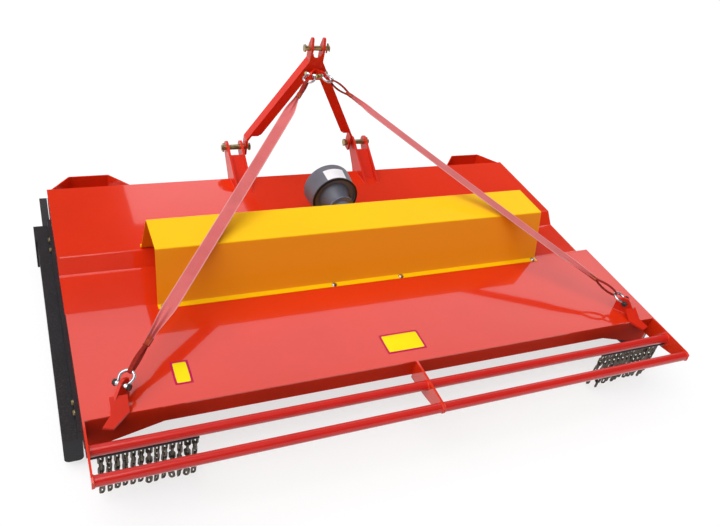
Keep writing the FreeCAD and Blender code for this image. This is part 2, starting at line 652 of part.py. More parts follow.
def input_guard():
    """Bell round the stub: a closed back on the neck and an open mouth."""
    def cone(r0, r1, y0, y1):
        return Part.makeCone(r0, r1, y1 - y0, Vector(0, y0, DRIVE_Z), Y_AXIS)

    slope = (BELL_FRONT_R - BELL_REAR_R) / BELL_LENGTH
    shell = cone(BELL_REAR_R, BELL_FRONT_R, BELL_REAR, BELL_FRONT)
    back = NECK_FRONT + BELL_WALL
    hollow = cone(BELL_REAR_R - BELL_WALL + slope * (back - BELL_REAR),
                  BELL_FRONT_R - BELL_WALL + slope, back, BELL_FRONT + 1.0)
    rim = rod(Vector(0, BELL_REAR, DRIVE_Z), Y_AXIS, BELL_REAR_R + BELL_RIM, BELL_RIM_LENGTH)
    recess = rod(Vector(0, BELL_REAR, DRIVE_Z), Y_AXIS, BELL_REAR_R - BELL_RIM_LENGTH, BELL_SET)
    hole = rod(Vector(0, BELL_REAR, DRIVE_Z), Y_AXIS, JOURNAL_R + BELL_HOLE_GAP, BELL_LENGTH)
    return joined([shell, rim]).cut(hollow).cut(recess).cut(hole)


# ---- rotors -------------------------------------------------------------
def rotor():
    """Right rotor without its blades: spindle, hub, carrier bar and dish."""
    housing_low = FLOOR - SHEET - HOUSING_DEPTH
    hub_top = housing_low - SEAT
    carrier_top = CARRIER_Z + CARRIER_THICK
    hub = rod(Vector(ROTOR_X, DRIVE_Y, carrier_top), Z_AXIS, HUB_R, hub_top - carrier_top)
    spindle = rod(Vector(ROTOR_X, DRIVE_Y, carrier_top), Z_AXIS, SPINDLE_R,
                  housing_low + HOUSING_DEPTH - SPINDLE_ROOF - SEAT - carrier_top)
    bar = block(ROTOR_X - CARRIER_HALF, ROTOR_X + CARRIER_HALF,
                DRIVE_Y - CARRIER_WIDTH / 2.0, DRIVE_Y + CARRIER_WIDTH / 2.0,
                CARRIER_Z, carrier_top)
    dish = Part.makeCone(DISH_LOW_R, DISH_R, DISH_DROP,
                         Vector(ROTOR_X, DRIVE_Y, CARRIER_Z - DISH_DROP), Z_AXIS)
    return joined([hub, spindle, bar, dish])


def blades():
    """Two flat blades under the ends of the right carrier, with their bolts."""
    made = []
    half = BLADE_WIDTH / 2.0
    low = CARRIER_Z - BLADE_THICK
    for side in (1.0, -1.0):
        near = ROTOR_X + side * (CARRIER_HALF - BLADE_HOLD)
        tip = ROTOR_X + side * math.sqrt(ROTOR_R ** 2 - half ** 2)
        blade = block(min(near, tip), max(near, tip), DRIVE_Y - half, DRIVE_Y + half,
                      low, CARRIER_Z)
        bolt_x = ROTOR_X + side * (CARRIER_HALF - BLADE_BOLT_SET)
        head = rod(Vector(bolt_x, DRIVE_Y, low - BLADE_BOLT_HEAD), Z_AXIS,
                   BLADE_BOLT_R, BLADE_BOLT_HEAD)
        made.append(joined([blade, head]))
    return made


# ---- lower hitch --------------------------------------------------------
def tangent_point(u, v, side):
    """Where a line from (u, v) touches the rounded nose at the pin."""
    run = math.hypot(PIN_Y - u, PIN_Z - v)
    heading = math.atan2(v - PIN_Z, u - PIN_Y)
    spread = side * math.acos(NOSE_R / run)
    return (PIN_Y + NOSE_R * math.cos(heading + spread),
            PIN_Z + NOSE_R * math.sin(heading + spread))


def hitch_plate(x):
    """One hitch plate, from its foot on the deck to its rounded nose."""
    heel = (DECK_DEPTH + HITCH_HEEL, TOP)
    outline = [(HITCH_REAR, TOP), tangent_point(HITCH_REAR, TOP, -1.0), (PIN_Y, PIN_Z),
               tangent_point(heel[0], heel[1], 1.0), heel,
               (DECK_DEPTH, TOP - HITCH_SKIRT_DROP), (DECK_DEPTH, TOP)]
    start = x - HITCH_PLATE / 2.0
    nose = rod(Vector(start, PIN_Y, PIN_Z), X_AXIS, NOSE_R, HITCH_PLATE)
    return joined([plate("YZ", outline, start, HITCH_PLATE), nose])


def hitch_bracket():
    """Right lower hitch: two plates with a web between, welded to the deck."""
    foot = HITCH_REAR + HITCH_WEB_FOOT
    crest = PIN_Y - HITCH_WEB_GAP
    web = plate("YZ", [(foot, TOP), (foot + HITCH_WEB, TOP),
                       (crest, PIN_Z - HITCH_WEB), (crest - HITCH_WEB, PIN_Z - HITCH_WEB)],
                HITCH_INNER_X, HITCH_OUTER_X - HITCH_INNER_X)
    bracket = joined([hitch_plate(HITCH_INNER_X), hitch_plate(HITCH_OUTER_X), web])
    return bracket.cut(rod(Vector(PIN_INNER_END, PIN_Y, PIN_Z), X_AXIS, PIN_R + RUNNING,
                           PIN_OUTER_END - PIN_INNER_END))


def hitch_pin():
    """Right lower hitch pin with its head and lynch pin."""
    pin = rod(Vector(PIN_INNER_END, PIN_Y, PIN_Z), X_AXIS, PIN_R, PIN_OUTER_END - PIN_INNER_END)
    head = rod(Vector(PIN_INNER_END - PIN_HEAD, PIN_Y, PIN_Z), X_AXIS, PIN_HEAD_R, PIN_HEAD)
    clip = rod(Vector(PIN_OUTER_END - 3.0 * CLIP_R, PIN_Y, PIN_Z - CLIP_LENGTH / 2.0), Z_AXIS,
               CLIP_R, CLIP_LENGTH)
    return joined([pin, head, clip])


# ---- mast ---------------------------------------------------------------
def leaning(shape):
    """Takes a piece drawn on an upright mast over its pin to its real place."""
    lean = shape.copy()
    lean.rotate(Vector(0, 0, 0), X_AXIS, MAST_LEAN)
    lean.translate(Vector(0, PIN_Y, PIN_Z))
    return lean


def mast_point(x, y, z):
    """A point of the upright mast at its real place."""
    turn = Rotation(X_AXIS, MAST_LEAN)
    return turn.multVec(Vector(x, y, z)) + Vector(0, PIN_Y, PIN_Z)


def leg_line():
    """Outer line of the right leg, from the ear's top down to the foot."""
    foot = FOOT_X + BAR_THICK / 2.0
    return [(EAR_OUT, MAST_HEIGHT + EAR_TOP), (EAR_OUT, LEG_BEND),
            (foot, FOOT_STRAIGHT), (foot, -NOSE_R)]


def leg_inner_x(z):
    """Inner side of the sloping stretch of the right leg at a height."""
    (x0, z0), (x1, z1) = leg_line()[1], leg_line()[2]
    slope = (x1 - x0) / (z1 - z0)
    run = math.hypot(x1 - x0, z1 - z0)
    return x0 + slope * (z - z0) - BAR_THICK * run / abs(z1 - z0)


def mast_leg():
    """Right leg, upright: a bent flat bar with a flange on its rear edge."""
    half = BAR_WIDTH / 2.0
    bar = folded("XZ", leg_line(), BAR_THICK, -half, BAR_WIDTH)
    low, high = LEG_FLANGE_FROM, GUSSET_LOW
    flange = plate("XZ", [(leg_inner_x(low) + 2.0, low), (leg_inner_x(high) + 2.0, high),
                          (leg_inner_x(high) - FLANGE_WIDTH, high),
                          (leg_inner_x(low + LEG_FLANGE_RISE) - FLANGE_WIDTH,
                           low + LEG_FLANGE_RISE),
                          (leg_inner_x(low) - LEG_FLANGE_TIP, low)],
                   -half, LEG_FLANGE_THICK)
    leg = joined([bar, flange])
    foot_x = FOOT_X - BAR_THICK
    leg = leg.cut(rod(Vector(foot_x, 0, 0), X_AXIS, PIN_R + RUNNING, 2.0 * BAR_THICK))
    ear_hole = rod(Vector(0, 0, MAST_HEIGHT), X_AXIS, TOP_PIN_R + RUNNING, 2.0 * EAR_OUT)
    wide = 2.0 * FOOT_X
    taper = MAST_HEIGHT + EAR_TAPER_FROM
    tip = MAST_HEIGHT + EAR_TOP - EAR_TIP_R
    keep = [block(0.0, wide, -half, half, -NOSE_R, taper),
            plate("YZ", [(-half, taper), (half, taper), (EAR_TIP_R, tip), (-EAR_TIP_R, tip)],
                  0.0, wide),
            rod(Vector(0, 0, tip), X_AXIS, EAR_TIP_R, wide)]
    return leg.cut(ear_hole).common(joined(keep))


def mast_head():
    """Gusset, sloping web with its notch, and the two strap lugs."""
    back = -BAR_WIDTH / 2.0
    low_x = leg_inner_x(GUSSET_LOW)
    inner = EAR_GAP / 2.0
    gusset = plate("XZ", [(-low_x, GUSSET_LOW), (low_x, GUSSET_LOW),
                          (inner, LEG_BEND), (-inner, LEG_BEND)],
                   back, LEG_FLANGE_THICK)
    web = plate("XZ", [(-inner, LEG_BEND - WEB_LAP), (inner, LEG_BEND - WEB_LAP),
                       (inner, WEB_TOP), (-inner, WEB_TOP)], back, LEG_FLANGE_THICK)
    web = web.cut(rod(Vector(0, back, WEB_TOP), Y_AXIS, NOTCH_R, LEG_FLANGE_THICK))
    leg = mast_leg()
    head = leaning(joined([gusset, web]).cut(leg).cut(mirrored(leg)))
    reach = LUG_REACH / abs(strap_way().y)
    lug = strap_plate(lug_hole(), [(-LUG_R, -LUG_R), (-LUG_R, LUG_R * 0.5), (-LUG_R * 0.4, LUG_R),
                                   (2.0 * reach, LUG_R), (2.0 * reach, -LUG_R)], LUG_THICK)
    lug = lug.cut(leaning(block(-MAST_HEIGHT, MAST_HEIGHT, back, MAST_HEIGHT,
                                0.0, 2.0 * MAST_HEIGHT)))
    return joined([head, lug, mirrored(lug)])


def top_pin():
    """Top link pin through both ears."""
    start = Vector(-TOP_PIN_HALF, 0, MAST_HEIGHT)
    pin = rod(start, X_AXIS, TOP_PIN_R, 2.0 * TOP_PIN_HALF)
    head = rod(start, X_AXIS, TOP_PIN_HEAD_R, PIN_HEAD)
    clip = rod(Vector(TOP_PIN_HALF - 3.0 * CLIP_R, 0, MAST_HEIGHT - CLIP_LENGTH / 2.0), Z_AXIS,
               CLIP_R, CLIP_LENGTH)
    return leaning(joined([pin, head, clip]))


# ---- straps -------------------------------------------------------------
def lug_hole():
    """Middle of the right strap lug's hole, at its real place."""
    return mast_point(LUG_X, -BAR_WIDTH / 2.0 - LUG_REACH, LUG_HEIGHT)


def bracket_hole():
    return Vector(BRACKET_X, BRACKET_Y, TOP + BRACKET_HEIGHT)


def strap_way():
    """Unit vector from the bracket to the mast head, on the right side."""
    way = lug_hole() - bracket_hole()
    return way.normalize()


def along(shape, origin, way):
    """Turns a piece drawn along +Z, wide in X, so that it runs along a line."""
    level = Vector(way.y, -way.x, 0).normalize()
    third = way.cross(level)
    frame = FreeCAD.Matrix(level.x, third.x, way.x, origin.x,
                           level.y, third.y, way.y, origin.y,
                           level.z, third.z, way.z, origin.z,
                           0, 0, 0, 1)
    moved = shape.copy()
    moved.Placement = Placement(frame)
    return moved


def strap_plate(hole, outline, thick):
    """Upright plate in line with the right strap, drilled for a shackle pin.

    The outline is (distance towards the mast, height), both from the hole.
    """
    way = strap_way()
    flat = Vector(way.x, way.y, 0).normalize()
    across = Vector(-flat.y, flat.x, 0)
    start = hole - across * (thick / 2.0)
    corners = [start + flat * s + Z_AXIS * h for s, h in outline]
    corners.append(corners[0])
    body = Part.Face(Part.makePolygon(corners)).extrude(across * thick)
    return body.cut(rod(hole - across * thick, across, SHACKLE_PIN_R + RUNNING, 2.0 * thick))


def shackle():
    """Bow shackle drawn with its pin at the origin and its bow up +Z."""
    foot = (SHACKLE_GAP + SHACKLE_BOSS) / 2.0
    mean = SHACKLE_BOW_R + SHACKLE_ROD_R
    centre = SHACKLE_LENGTH - mean
    touch = math.atan2(-centre, foot) + math.acos(mean / math.hypot(foot, centre))
    end = Vector(mean * math.cos(touch), 0, centre + mean * math.sin(touch))
    leg_way = end - Vector(foot, 0, 0)
    ring = Part.Circle(end, leg_way, SHACKLE_ROD_R).toShape()
    arc = 180.0 - 2.0 * math.degrees(touch)
    bow = Part.Face(Part.Wire(ring)).revolve(Vector(0, 0, centre), Y_AXIS, -arc)
    leg = rod(Vector(foot, 0, 0), leg_way, SHACKLE_ROD_R, leg_way.Length)
    boss = rod(Vector(SHACKLE_GAP / 2.0, 0, 0), X_AXIS, SHACKLE_BOSS_R, SHACKLE_BOSS)
    pin = rod(Vector(-SHACKLE_PIN_HALF, 0, 0), X_AXIS, SHACKLE_PIN_R, 2.0 * SHACKLE_PIN_HALF)
    return joined([bow, leg, mirrored(leg), boss, mirrored(boss), pin])


def strap_eye():
    """Narrow loop of webbing round a shackle's bow, drawn with that shackle."""
    near = SHACKLE_ROD_R + SEAT
    far = near + STRAP_THICK
    z = SHACKLE_LENGTH
    half = EYE_WIDTH / 2.0
    loop = [rod(Vector(-half, 0, z), X_AXIS, far, EYE_WIDTH),
            plate("YZ", [(-far, z), (-STRAP_THICK / 2.0, z + EYE_LENGTH),
                         (STRAP_THICK / 2.0, z + EYE_LENGTH), (far, z)], -half, EYE_WIDTH)]
    hollow = [rod(Vector(-half - 1.0, 0, z), X_AXIS, near, EYE_WIDTH + 2.0),
              plate("YZ", [(-near, z), (0.0, z + EYE_OPEN), (near, z)], -half - 1.0,
                    EYE_WIDTH + 2.0)]
    mean = SHACKLE_BOW_R + SHACKLE_ROD_R
    bow = Part.makeTorus(mean, near + SEAT, Vector(0, 0, z - mean), Y_AXIS)
    return joined(loop).cut(joined(hollow)).cut(bow)


def strap():
    """Right strap between the two shackles: a belt gathered into narrow eyes."""
    length = (lug_hole() - bracket_hole()).Length
    inset = SHACKLE_LENGTH + EYE_LENGTH
    eye = EYE_WIDTH / 2.0
    wide = STRAP_WIDTH / 2.0
    low = inset + STRAP_TAPER_LOW
    high = length - inset - STRAP_TAPER_TOP
    belt = plate("XZ", [(-eye, inset), (eye, inset), (wide, low), (wide, high),
                        (eye, length - inset), (-eye, length - inset), (-wide, high),
                        (-wide, low)], -STRAP_THICK / 2.0, STRAP_THICK)
    near = strap_eye()
    far = near.mirror(Vector(0, 0, length / 2.0), Z_AXIS)
    return joined([belt, near, far])


def strap_bracket():
    """Right bracket: a lug in line with the strap and a sloping plate through it."""
    hole = bracket_hole()
    low = -BRACKET_HEIGHT - SHEET
    outline = [(-BRACKET_REAR, low), (-BRACKET_REAR, -BRACKET_BACK),
               (-BRACKET_THICK, BRACKET_TOP), (BRACKET_THICK, BRACKET_TOP),
               (BRACKET_FRONT, 0.0), (BRACKET_FRONT, low)]
    lug = strap_plate(hole, list(reversed(outline)), BRACKET_THICK)
    drop = RAMP_TAIL * RAMP_RISE / RAMP_REACH
    wide = 4.0 * RAMP_OUT
    ramp = folded("YZ", [(RAMP_REACH, TOP + RAMP_RISE), (-RAMP_TAIL, TOP - drop)], RAMP_SHEET,
                  BRACKET_X - wide / 2.0, wide)
    shape = [(-RAMP_IN, 0.0), (-RAMP_IN, RAMP_REACH), (RAMP_OUT, RAMP_REACH), (RAMP_OUT, 0.0),
             (RAMP_OUT + RAMP_TAIL_OUT, RAMP_TAIL_SKEW - RAMP_TAIL), (RAMP_OUT, -RAMP_TAIL)]
    ramp = ramp.common(plate("XY", [(BRACKET_X + x, y) for x, y in shape], 0.0, 2.0 * TOP))
    return joined([lug, ramp]).cut(block(0.0, 2.0 * HALF, 0.0, DECK_DEPTH, 0.0, TOP))


# ---- all pieces ---------------------------------------------------------
def build():
    save("deck_sheet", deck_sheet())
    save("rear_skirt", rear_skirt())
    save("front_skirt", front_skirt())
    save_pair("side_plate", side_plate())
    inner, outer = guard_tubes()
    save("guard_tube_inner", inner)
    save("guard_tube_outer", outer)
    save("guard_centre_arm", centre_arm())

    rail = rear_rail()
    save("chain_rails", Part.makeCompound([rail, mirrored(rail)]))
    rear = chain_row(INNER_TUBE_Y, TOP - RAIL_DROP - RAIL_R)
    save("chains_rear", Part.makeCompound(rear + [mirrored(c) for c in rear]))
    front = front_chains()
    save("chains_front", Part.makeCompound(front + [mirrored(c) for c in front]))
    save_pair("front_hood", front_hood())

    save_pair("skid", skid())
    bolts = skid_bolts()
    save("skid_bolts", Part.makeCompound(bolts + [mirrored(b) for b in bolts]))

    save("drive_cover", drive_cover())
    save("gearbox_centre", centre_gearbox())
    save_pair("gearbox_side", side_gearbox())
    save_pair("spindle_housing", spindle_housing())
    save_pair("cross_shaft", cross_shaft())
    save("input_stub", input_stub())
    save("input_guard", input_guard())

    save_pair("rotor", rotor())
    pair = blades()
    save("blades_right", Part.makeCompound(pair))
    save("blades_left", Part.makeCompound([mirrored(b) for b in pair]))

    save_pair("hitch_bracket", hitch_bracket())
    save_pair("hitch_pin", hitch_pin())

    save_pair("mast_leg", leaning(mast_leg()))
    save("mast_head", mast_head())
    save("top_pin", top_pin())

    way = strap_way()
    back = way * -1.0
    low = along(shackle(), bracket_hole(), way)
    high = along(shackle(), lug_hole(), back)
    save("shackles_low", Part.makeCompound([low, mirrored(low)]))
    save("shackles_top", Part.makeCompound([high, mirrored(high)]))
    save_pair("strap", along(strap(), bracket_hole(), way))
    save_pair("strap_bracket", strap_bracket())


os.makedirs("parts", exist_ok=True)
build()
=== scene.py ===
import math

import bmesh
import bpy
import numpy as np
from bpy.props import FloatProperty, FloatVectorProperty, IntProperty, PointerProperty
from mathutils import Euler, Matrix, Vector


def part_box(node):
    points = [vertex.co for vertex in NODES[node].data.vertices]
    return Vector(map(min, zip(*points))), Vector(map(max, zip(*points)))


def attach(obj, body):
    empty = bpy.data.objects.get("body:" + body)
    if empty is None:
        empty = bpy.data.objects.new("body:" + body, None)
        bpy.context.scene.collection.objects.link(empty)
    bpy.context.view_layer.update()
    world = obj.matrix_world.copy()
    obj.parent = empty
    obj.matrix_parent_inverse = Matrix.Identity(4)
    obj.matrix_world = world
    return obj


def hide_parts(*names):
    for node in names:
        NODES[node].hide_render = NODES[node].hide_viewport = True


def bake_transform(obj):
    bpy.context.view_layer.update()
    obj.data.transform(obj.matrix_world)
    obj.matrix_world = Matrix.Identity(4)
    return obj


bl_info = {
    "name": "Finishing mower finish",
    "version": (1, 0, 0),
    "blender": (4, 5, 0),
    "location": "3D View > Sidebar > Mower",
    "description": "Finishes, chains, straps, fasteners and stage of a finishing mower",
    "category": "Object",
}

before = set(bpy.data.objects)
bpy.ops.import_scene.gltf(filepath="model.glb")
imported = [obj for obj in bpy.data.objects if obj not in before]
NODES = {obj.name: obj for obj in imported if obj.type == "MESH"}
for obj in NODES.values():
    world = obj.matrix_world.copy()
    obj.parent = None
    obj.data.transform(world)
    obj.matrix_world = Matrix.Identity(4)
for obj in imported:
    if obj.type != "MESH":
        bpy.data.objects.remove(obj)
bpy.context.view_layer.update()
TURN = 2.0 * math.pi


def node_box(name):
    """Lowest and highest corner of a CAD node, as two arrays."""
    low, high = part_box(name)
    return np.array(low), np.array(high)


def middle_of(name):
    """Middle of a CAD node's box."""
    low, high = node_box(name)
    return (low + high) / 2.0


DECK_LOW, DECK_HIGH = node_box("deck_sheet")
DECK_TOP = float(DECK_HIGH[2])
REAR_EDGE = float(DECK_LOW[1])
FRONT_EDGE = float(DECK_HIGH[1])


# ---- surfaces -----------------------------------------------------------
SAME_POINT = 1e-6       # corners closer than this become one
NO_LENGTH = 1e-7        # edges shorter than this go
# Angles past which an edge stays sharp: on turned and flat pieces, on webbing, on beads and rings.
CRISP, WOVEN, ROUND = 0.5, 1.0, 1.2


def unit(v):
    """Vectors divided by their lengths."""
    v = np.asarray(v, float)
    return v / np.linalg.norm(v, axis=-1, keepdims=True)


def grid_quads(rows, cols, close_rows, close_cols):
    """Quads of a rows by cols grid: corner (i, j) with its next row and next column."""
    i = np.arange(rows if close_rows else rows - 1)[:, None]
    j = np.arange(cols if close_cols else cols - 1)[None, :]
    a = i * cols + j
    b = i * cols + (j + 1) % cols
    c = ((i + 1) % rows) * cols + (j + 1) % cols
    d = ((i + 1) % rows) * cols + j
    return np.stack([a, b, c, d], axis=-1).reshape(-1, 4)


def outward(points, quads):
    """Turns all the quads over where their signed volume, the sum of a . (b x c), is negative."""
    p = points[quads]
    volume = np.einsum("ij,ij->i", p[:, 0], np.cross(p[:, 1], p[:, 2])).sum()
    volume += np.einsum("ij,ij->i", p[:, 0], np.cross(p[:, 2], p[:, 3])).sum()
    return quads if volume > 0 else quads[:, ::-1]


def make_object(name, points, quads, material, slot, uv=None, sharp=0.7, merge=False):
    """Mesh object from arrays of points and quads, at the origin, with its material."""
    mesh = bpy.data.meshes.new(name)
    mesh.from_pydata(np.asarray(points, float).tolist(), [], np.asarray(quads).tolist())
    if merge:
        work = bmesh.new()
        work.from_mesh(mesh)
        bmesh.ops.remove_doubles(work, verts=work.verts, dist=SAME_POINT)
        bmesh.ops.dissolve_degenerate(work, edges=work.edges, dist=NO_LENGTH)
        bmesh.ops.recalc_face_normals(work, faces=work.faces)
        work.to_mesh(mesh)
        work.free()
    mesh.polygons.foreach_set("use_smooth", np.ones(len(mesh.polygons), bool))
    if uv is not None:
        layer = mesh.uv_layers.new(name="UVMap")
        index = np.zeros(len(mesh.loops), np.int32)
        mesh.loops.foreach_get("vertex_index", index)
        layer.data.foreach_set("uv", np.asarray(uv, float)[index].astype(np.float32).ravel())
    mesh.update()
    mesh.set_sharp_from_angle(angle=sharp)
    obj = bpy.data.objects.new(name, mesh)
    bpy.context.scene.collection.objects.link(obj)
    mesh.materials.append(material)
    return obj


def stack(parts):
    """One set of points and quads out of several: each set's quads shift by the points before."""
    points, quads, start = [], [], 0
    for p, q in parts:
        points.append(np.asarray(p, float).reshape(-1, 3))
        quads.append(np.asarray(q) + start)
        start += len(points[-1])
    return np.concatenate(points), np.concatenate(quads)


def placed(points, quads, places):
    """Copies of one shape: each 4 x 4 place turns and moves every point of it."""
    n, m = len(places), len(points)
    homo = np.concatenate([points, np.ones((m, 1))], axis=1)
    moved = np.einsum("nij,mj->nmi", places, homo)[..., :3].reshape(-1, 3)
    shift = (np.arange(n) * m)[:, None, None]
    return moved, (quads[None] + shift).reshape(-1, 4)


def circle(count):
    """Angles of even steps round a full turn."""
    return np.arange(count) * TURN / count


def lathe(profile, columns):
    """Profile of (radius, height) turned round Z: x = r cos a, y = r sin a, z = h."""
    profile = np.asarray(profile, float)
    a = circle(columns)
    r, h = profile[:, 0][:, None], profile[:, 1][:, None]
    pts = np.stack([r * np.cos(a), r * np.sin(a), h + 0.0 * a], axis=-1)
    quads = grid_quads(len(profile), columns, False, True)
    pts = pts.reshape(-1, 3)
    return pts, outward(pts, quads)


def tube(path, radius, sides, closed=False):
    """Round tube: at each point of the path, radius times (cos a, sin a) across its direction.

    The two cross directions come from one fixed vector that the path never follows.
    """
    path = np.asarray(path, float)
    if closed:
        ahead = unit(np.roll(path, -1, 0) - np.roll(path, 1, 0))
    else:
        ahead = unit(np.gradient(path, axis=0))
    spread = np.abs(ahead).max(axis=0)
    fixed = np.eye(3)[int(np.argmin(spread))]
    first = unit(np.cross(ahead, fixed))
    second = np.cross(ahead, first)
    a = circle(sides)
    radius = np.broadcast_to(np.asarray(radius, float), (len(path),))[:, None, None]
    ring = first[:, None] * np.cos(a)[None, :, None] + second[:, None] * np.sin(a)[None, :, None]
    pts = path[:, None] + ring * radius
    if not closed:
        pts = np.concatenate([np.repeat(path[:1, None], sides, 1), pts,
                              np.repeat(path[-1:, None], sides, 1)])
    quads = grid_quads(len(pts), sides, closed, True)
    pts = pts.reshape(-1, 3)
    return pts, outward(pts - pts.mean(0), quads)


def strip(face, back):
    """Closed strip: a face grid and a back grid joined at their sides, a cap at each end."""
    loop = np.concatenate([face, back[:, ::-1]], axis=1)
    rows, cols = loop.shape[:2]
    j = np.arange(face.shape[1] - 1)
    cap = np.stack([j, j + 1, cols - 2 - j, cols - 1 - j], -1)
    quads = np.concatenate([grid_quads(rows, cols, False, True), cap[:, ::-1],
                            cap + (rows - 1) * cols])
    return loop.reshape(-1, 3), quads


def strip_map(along, across):
    """Map of a strip: u runs along it and v across its face, and back across its back."""
    v = np.concatenate([across, across[::-1]])
    return np.stack(np.broadcast_arrays(along[:, None], v[None, :]), -1).reshape(-1, 2)


def frame_at(origin, axis, up=(0.0, 0.0, 1.0)):
    """Place whose Z runs along an axis and whose X lies across the axis and up."""
    z = unit(axis)
    x = np.cross(up, z)
    if np.linalg.norm(x) < SAME_POINT:
        x = np.cross((0.0, 1.0, 0.0), z)
    x = unit(x)
    m = np.eye(4)
    m[:3, 0], m[:3, 1], m[:3, 2], m[:3, 3] = x, np.cross(z, x), z, origin
    return m


# ---- shader groups ------------------------------------------------------
def new_group(name, inputs, outputs):
    """Empty shader group with named sockets; returns it, its inputs and its end node."""
    group = bpy.data.node_groups.new(name, "ShaderNodeTree")
    for label, kind, default in inputs:
        socket = group.interface.new_socket(label, in_out="INPUT", socket_type=kind)
        socket.default_value = default
    for label, kind in outputs:
        group.interface.new_socket(label, in_out="OUTPUT", socket_type=kind)
    start = group.nodes.new("NodeGroupInput")
    end = group.nodes.new("NodeGroupOutput")
    return group, start.outputs, end


def set_socket(tree, socket, value):
    """Links a value that is a socket, and sets one that is a constant."""
    if isinstance(value, bpy.types.NodeSocket):
        tree.links.new(value, socket)
    else:
        socket.default_value = value


def set_inputs(tree, node, **values):
    """Puts values into a node's inputs by name, with _ for a space."""
    for label, value in values.items():
        set_socket(tree, node.inputs[label.replace("_", " ")], value)
    return node


def new_node(tree, kind, **values):
    """New shader node of a kind, with its inputs filled."""
    return set_inputs(tree, tree.nodes.new("ShaderNode" + kind), **values)


def maths(tree, operation, a, b=None, clamp=False):
    """Math node; a and b are sockets or numbers."""
    node = new_node(tree, "Math")
    node.operation, node.use_clamp = operation, clamp
    for socket, value in zip(node.inputs, (a,) if b is None else (a, b)):
        set_socket(tree, socket, value)
    return node.outputs[0]


def noise(tree, vector, scale, detail, rough):
    """Noise on a vector."""
    return new_node(tree, "TexNoise", Vector=vector, Scale=scale, Detail=detail,
                    Roughness=rough).outputs["Fac"]


def blend_colour(tree, factor, first, second):
    """Colour mix by a factor."""
    node = new_node(tree, "Mix")
    node.data_type = "RGBA"
    for index, value in ((0, factor), (6, first), (7, second)):
        set_socket(tree, node.inputs[index], value)
    return node.outputs[2]


def remap(tree, value, low, high, out_low, out_high):
    """Clamped linear map of a value from one range to another."""
    return new_node(tree, "MapRange", Value=value, From_Min=low, From_Max=high, To_Min=out_low,
                    To_Max=out_high).outputs["Result"]


def parts_of(tree, vector):
    """A vector's X, Y and Z."""
    return new_node(tree, "SeparateXYZ", Vector=vector).outputs


def tone_group():
    """Colour that drifts over the surface, with painted shade where it is steep, dusty where it
    faces up.
    """
    group, given, end = new_group(
        "surface_tone",
        [("Vector", "NodeSocketVector", (0.0, 0.0, 0.0)),
         ("Colour", "NodeSocketColor", (0.8, 0.1, 0.1, 1.0)),
         ("Deep Colour", "NodeSocketColor", (0.5, 0.05, 0.05, 1.0)),
         ("Dust Colour", "NodeSocketColor", (0.45, 0.38, 0.3, 1.0)),
         # Side Colour and Side: the painted shade of steep faces, and how much of it.
         ("Side Colour", "NodeSocketColor", (0.8, 0.1, 0.1, 1.0)),
         ("Side", "NodeSocketFloat", 0.0),
         ("Drift", "NodeSocketFloat", 0.3),
         ("Dust", "NodeSocketFloat", 0.0),
         ("Gloss", "NodeSocketFloat", 0.25),
         ("Scale", "NodeSocketFloat", 6.0)],
        [("Colour", "NodeSocketColor"), ("Roughness", "NodeSocketFloat")])
    fine_steps, grain_rough, dust_rough = 23.0, 0.06, 0.4
    broad = noise(group, given["Vector"], given["Scale"], 3.0, 0.55)
    fine = noise(group, given["Vector"], maths(group, "MULTIPLY", given["Scale"], fine_steps),
                 4.0, 0.6)
    drift = maths(group, "MULTIPLY", remap(group, broad, 0.35, 0.7, 0.0, 1.0), given["Drift"])
    base = blend_colour(group, drift, given["Colour"], given["Deep Colour"])
    up = parts_of(group, new_node(group, "NewGeometry").outputs["Normal"])["Z"]
    # Painted shade: faces that tilt away from up take the side colour, by the Side share.
    steep = maths(group, "MULTIPLY", remap(group, up, 0.32, 0.85, 1.0, 0.0), given["Side"])
    base = blend_colour(group, steep, base, given["Side Colour"])
    film = maths(group, "MULTIPLY", remap(group, fine, 0.45, 0.75, 0.0, 1.0),
                 remap(group, up, 0.2, 0.95, 0.25, 1.0))
    film = maths(group, "MULTIPLY", film, given["Dust"], clamp=True)
    rough = maths(group, "ADD", given["Gloss"],
                  maths(group, "MULTIPLY", remap(group, fine, 0.3, 0.8, 0.0, 1.0),
                        grain_rough))
    set_inputs(group, end, Colour=blend_colour(group, film, base, given["Dust Colour"]),
               Roughness=maths(group, "ADD", rough, maths(group, "MULTIPLY", film, dust_rough),
                               clamp=True))
    return group


def peel_group():
    """Height of sprayed paint or a casting: fine noise over coarse noise."""
    group, given, end = new_group(
        "surface_grain",
        [("Vector", "NodeSocketVector", (0.0, 0.0, 0.0)),
         ("Scale", "NodeSocketFloat", 300.0),
         ("Coarse", "NodeSocketFloat", 0.3)],
        [("Height", "NodeSocketFloat")])
    coarse_steps = 12.0
    fine = noise(group, given["Vector"], given["Scale"], 2.0, 0.5)
    wide = noise(group, given["Vector"], maths(group, "DIVIDE", given["Scale"], coarse_steps),
                 2.0, 0.5)
    set_inputs(group, end, Height=maths(group, "ADD", fine,
                                        maths(group, "MULTIPLY", wide, given["Coarse"])))
    return group


def scuff_group():
    """Mask of short bare scratches: thin bands of a stretched noise, gated by a broad one."""
    group, given, end = new_group(
        "surface_scuffs",
        [("Vector", "NodeSocketVector", (0.0, 0.0, 0.0)),
         ("Scale", "NodeSocketFloat", 14.0),
         ("Amount", "NodeSocketFloat", 0.3)],
        [("Mask", "NodeSocketFloat")])
    streak_steps, thinness = 4.0, (1.0, 7.0, 7.0)
    stretched = new_node(group, "Mapping", Vector=given["Vector"], Scale=thinness).outputs["Vector"]
    streak = noise(group, stretched, maths(group, "MULTIPLY", given["Scale"], streak_steps),
                   4.0, 0.6)
    gate = noise(group, given["Vector"], given["Scale"], 2.0, 0.5)
    thin = maths(group, "MULTIPLY", remap(group, streak, 0.62, 0.68, 0.0, 1.0),
                 remap(group, gate, 0.52, 0.62, 0.0, 1.0))
    set_inputs(group, end, Mask=maths(group, "MULTIPLY", thin, given["Amount"], clamp=True))
    return group


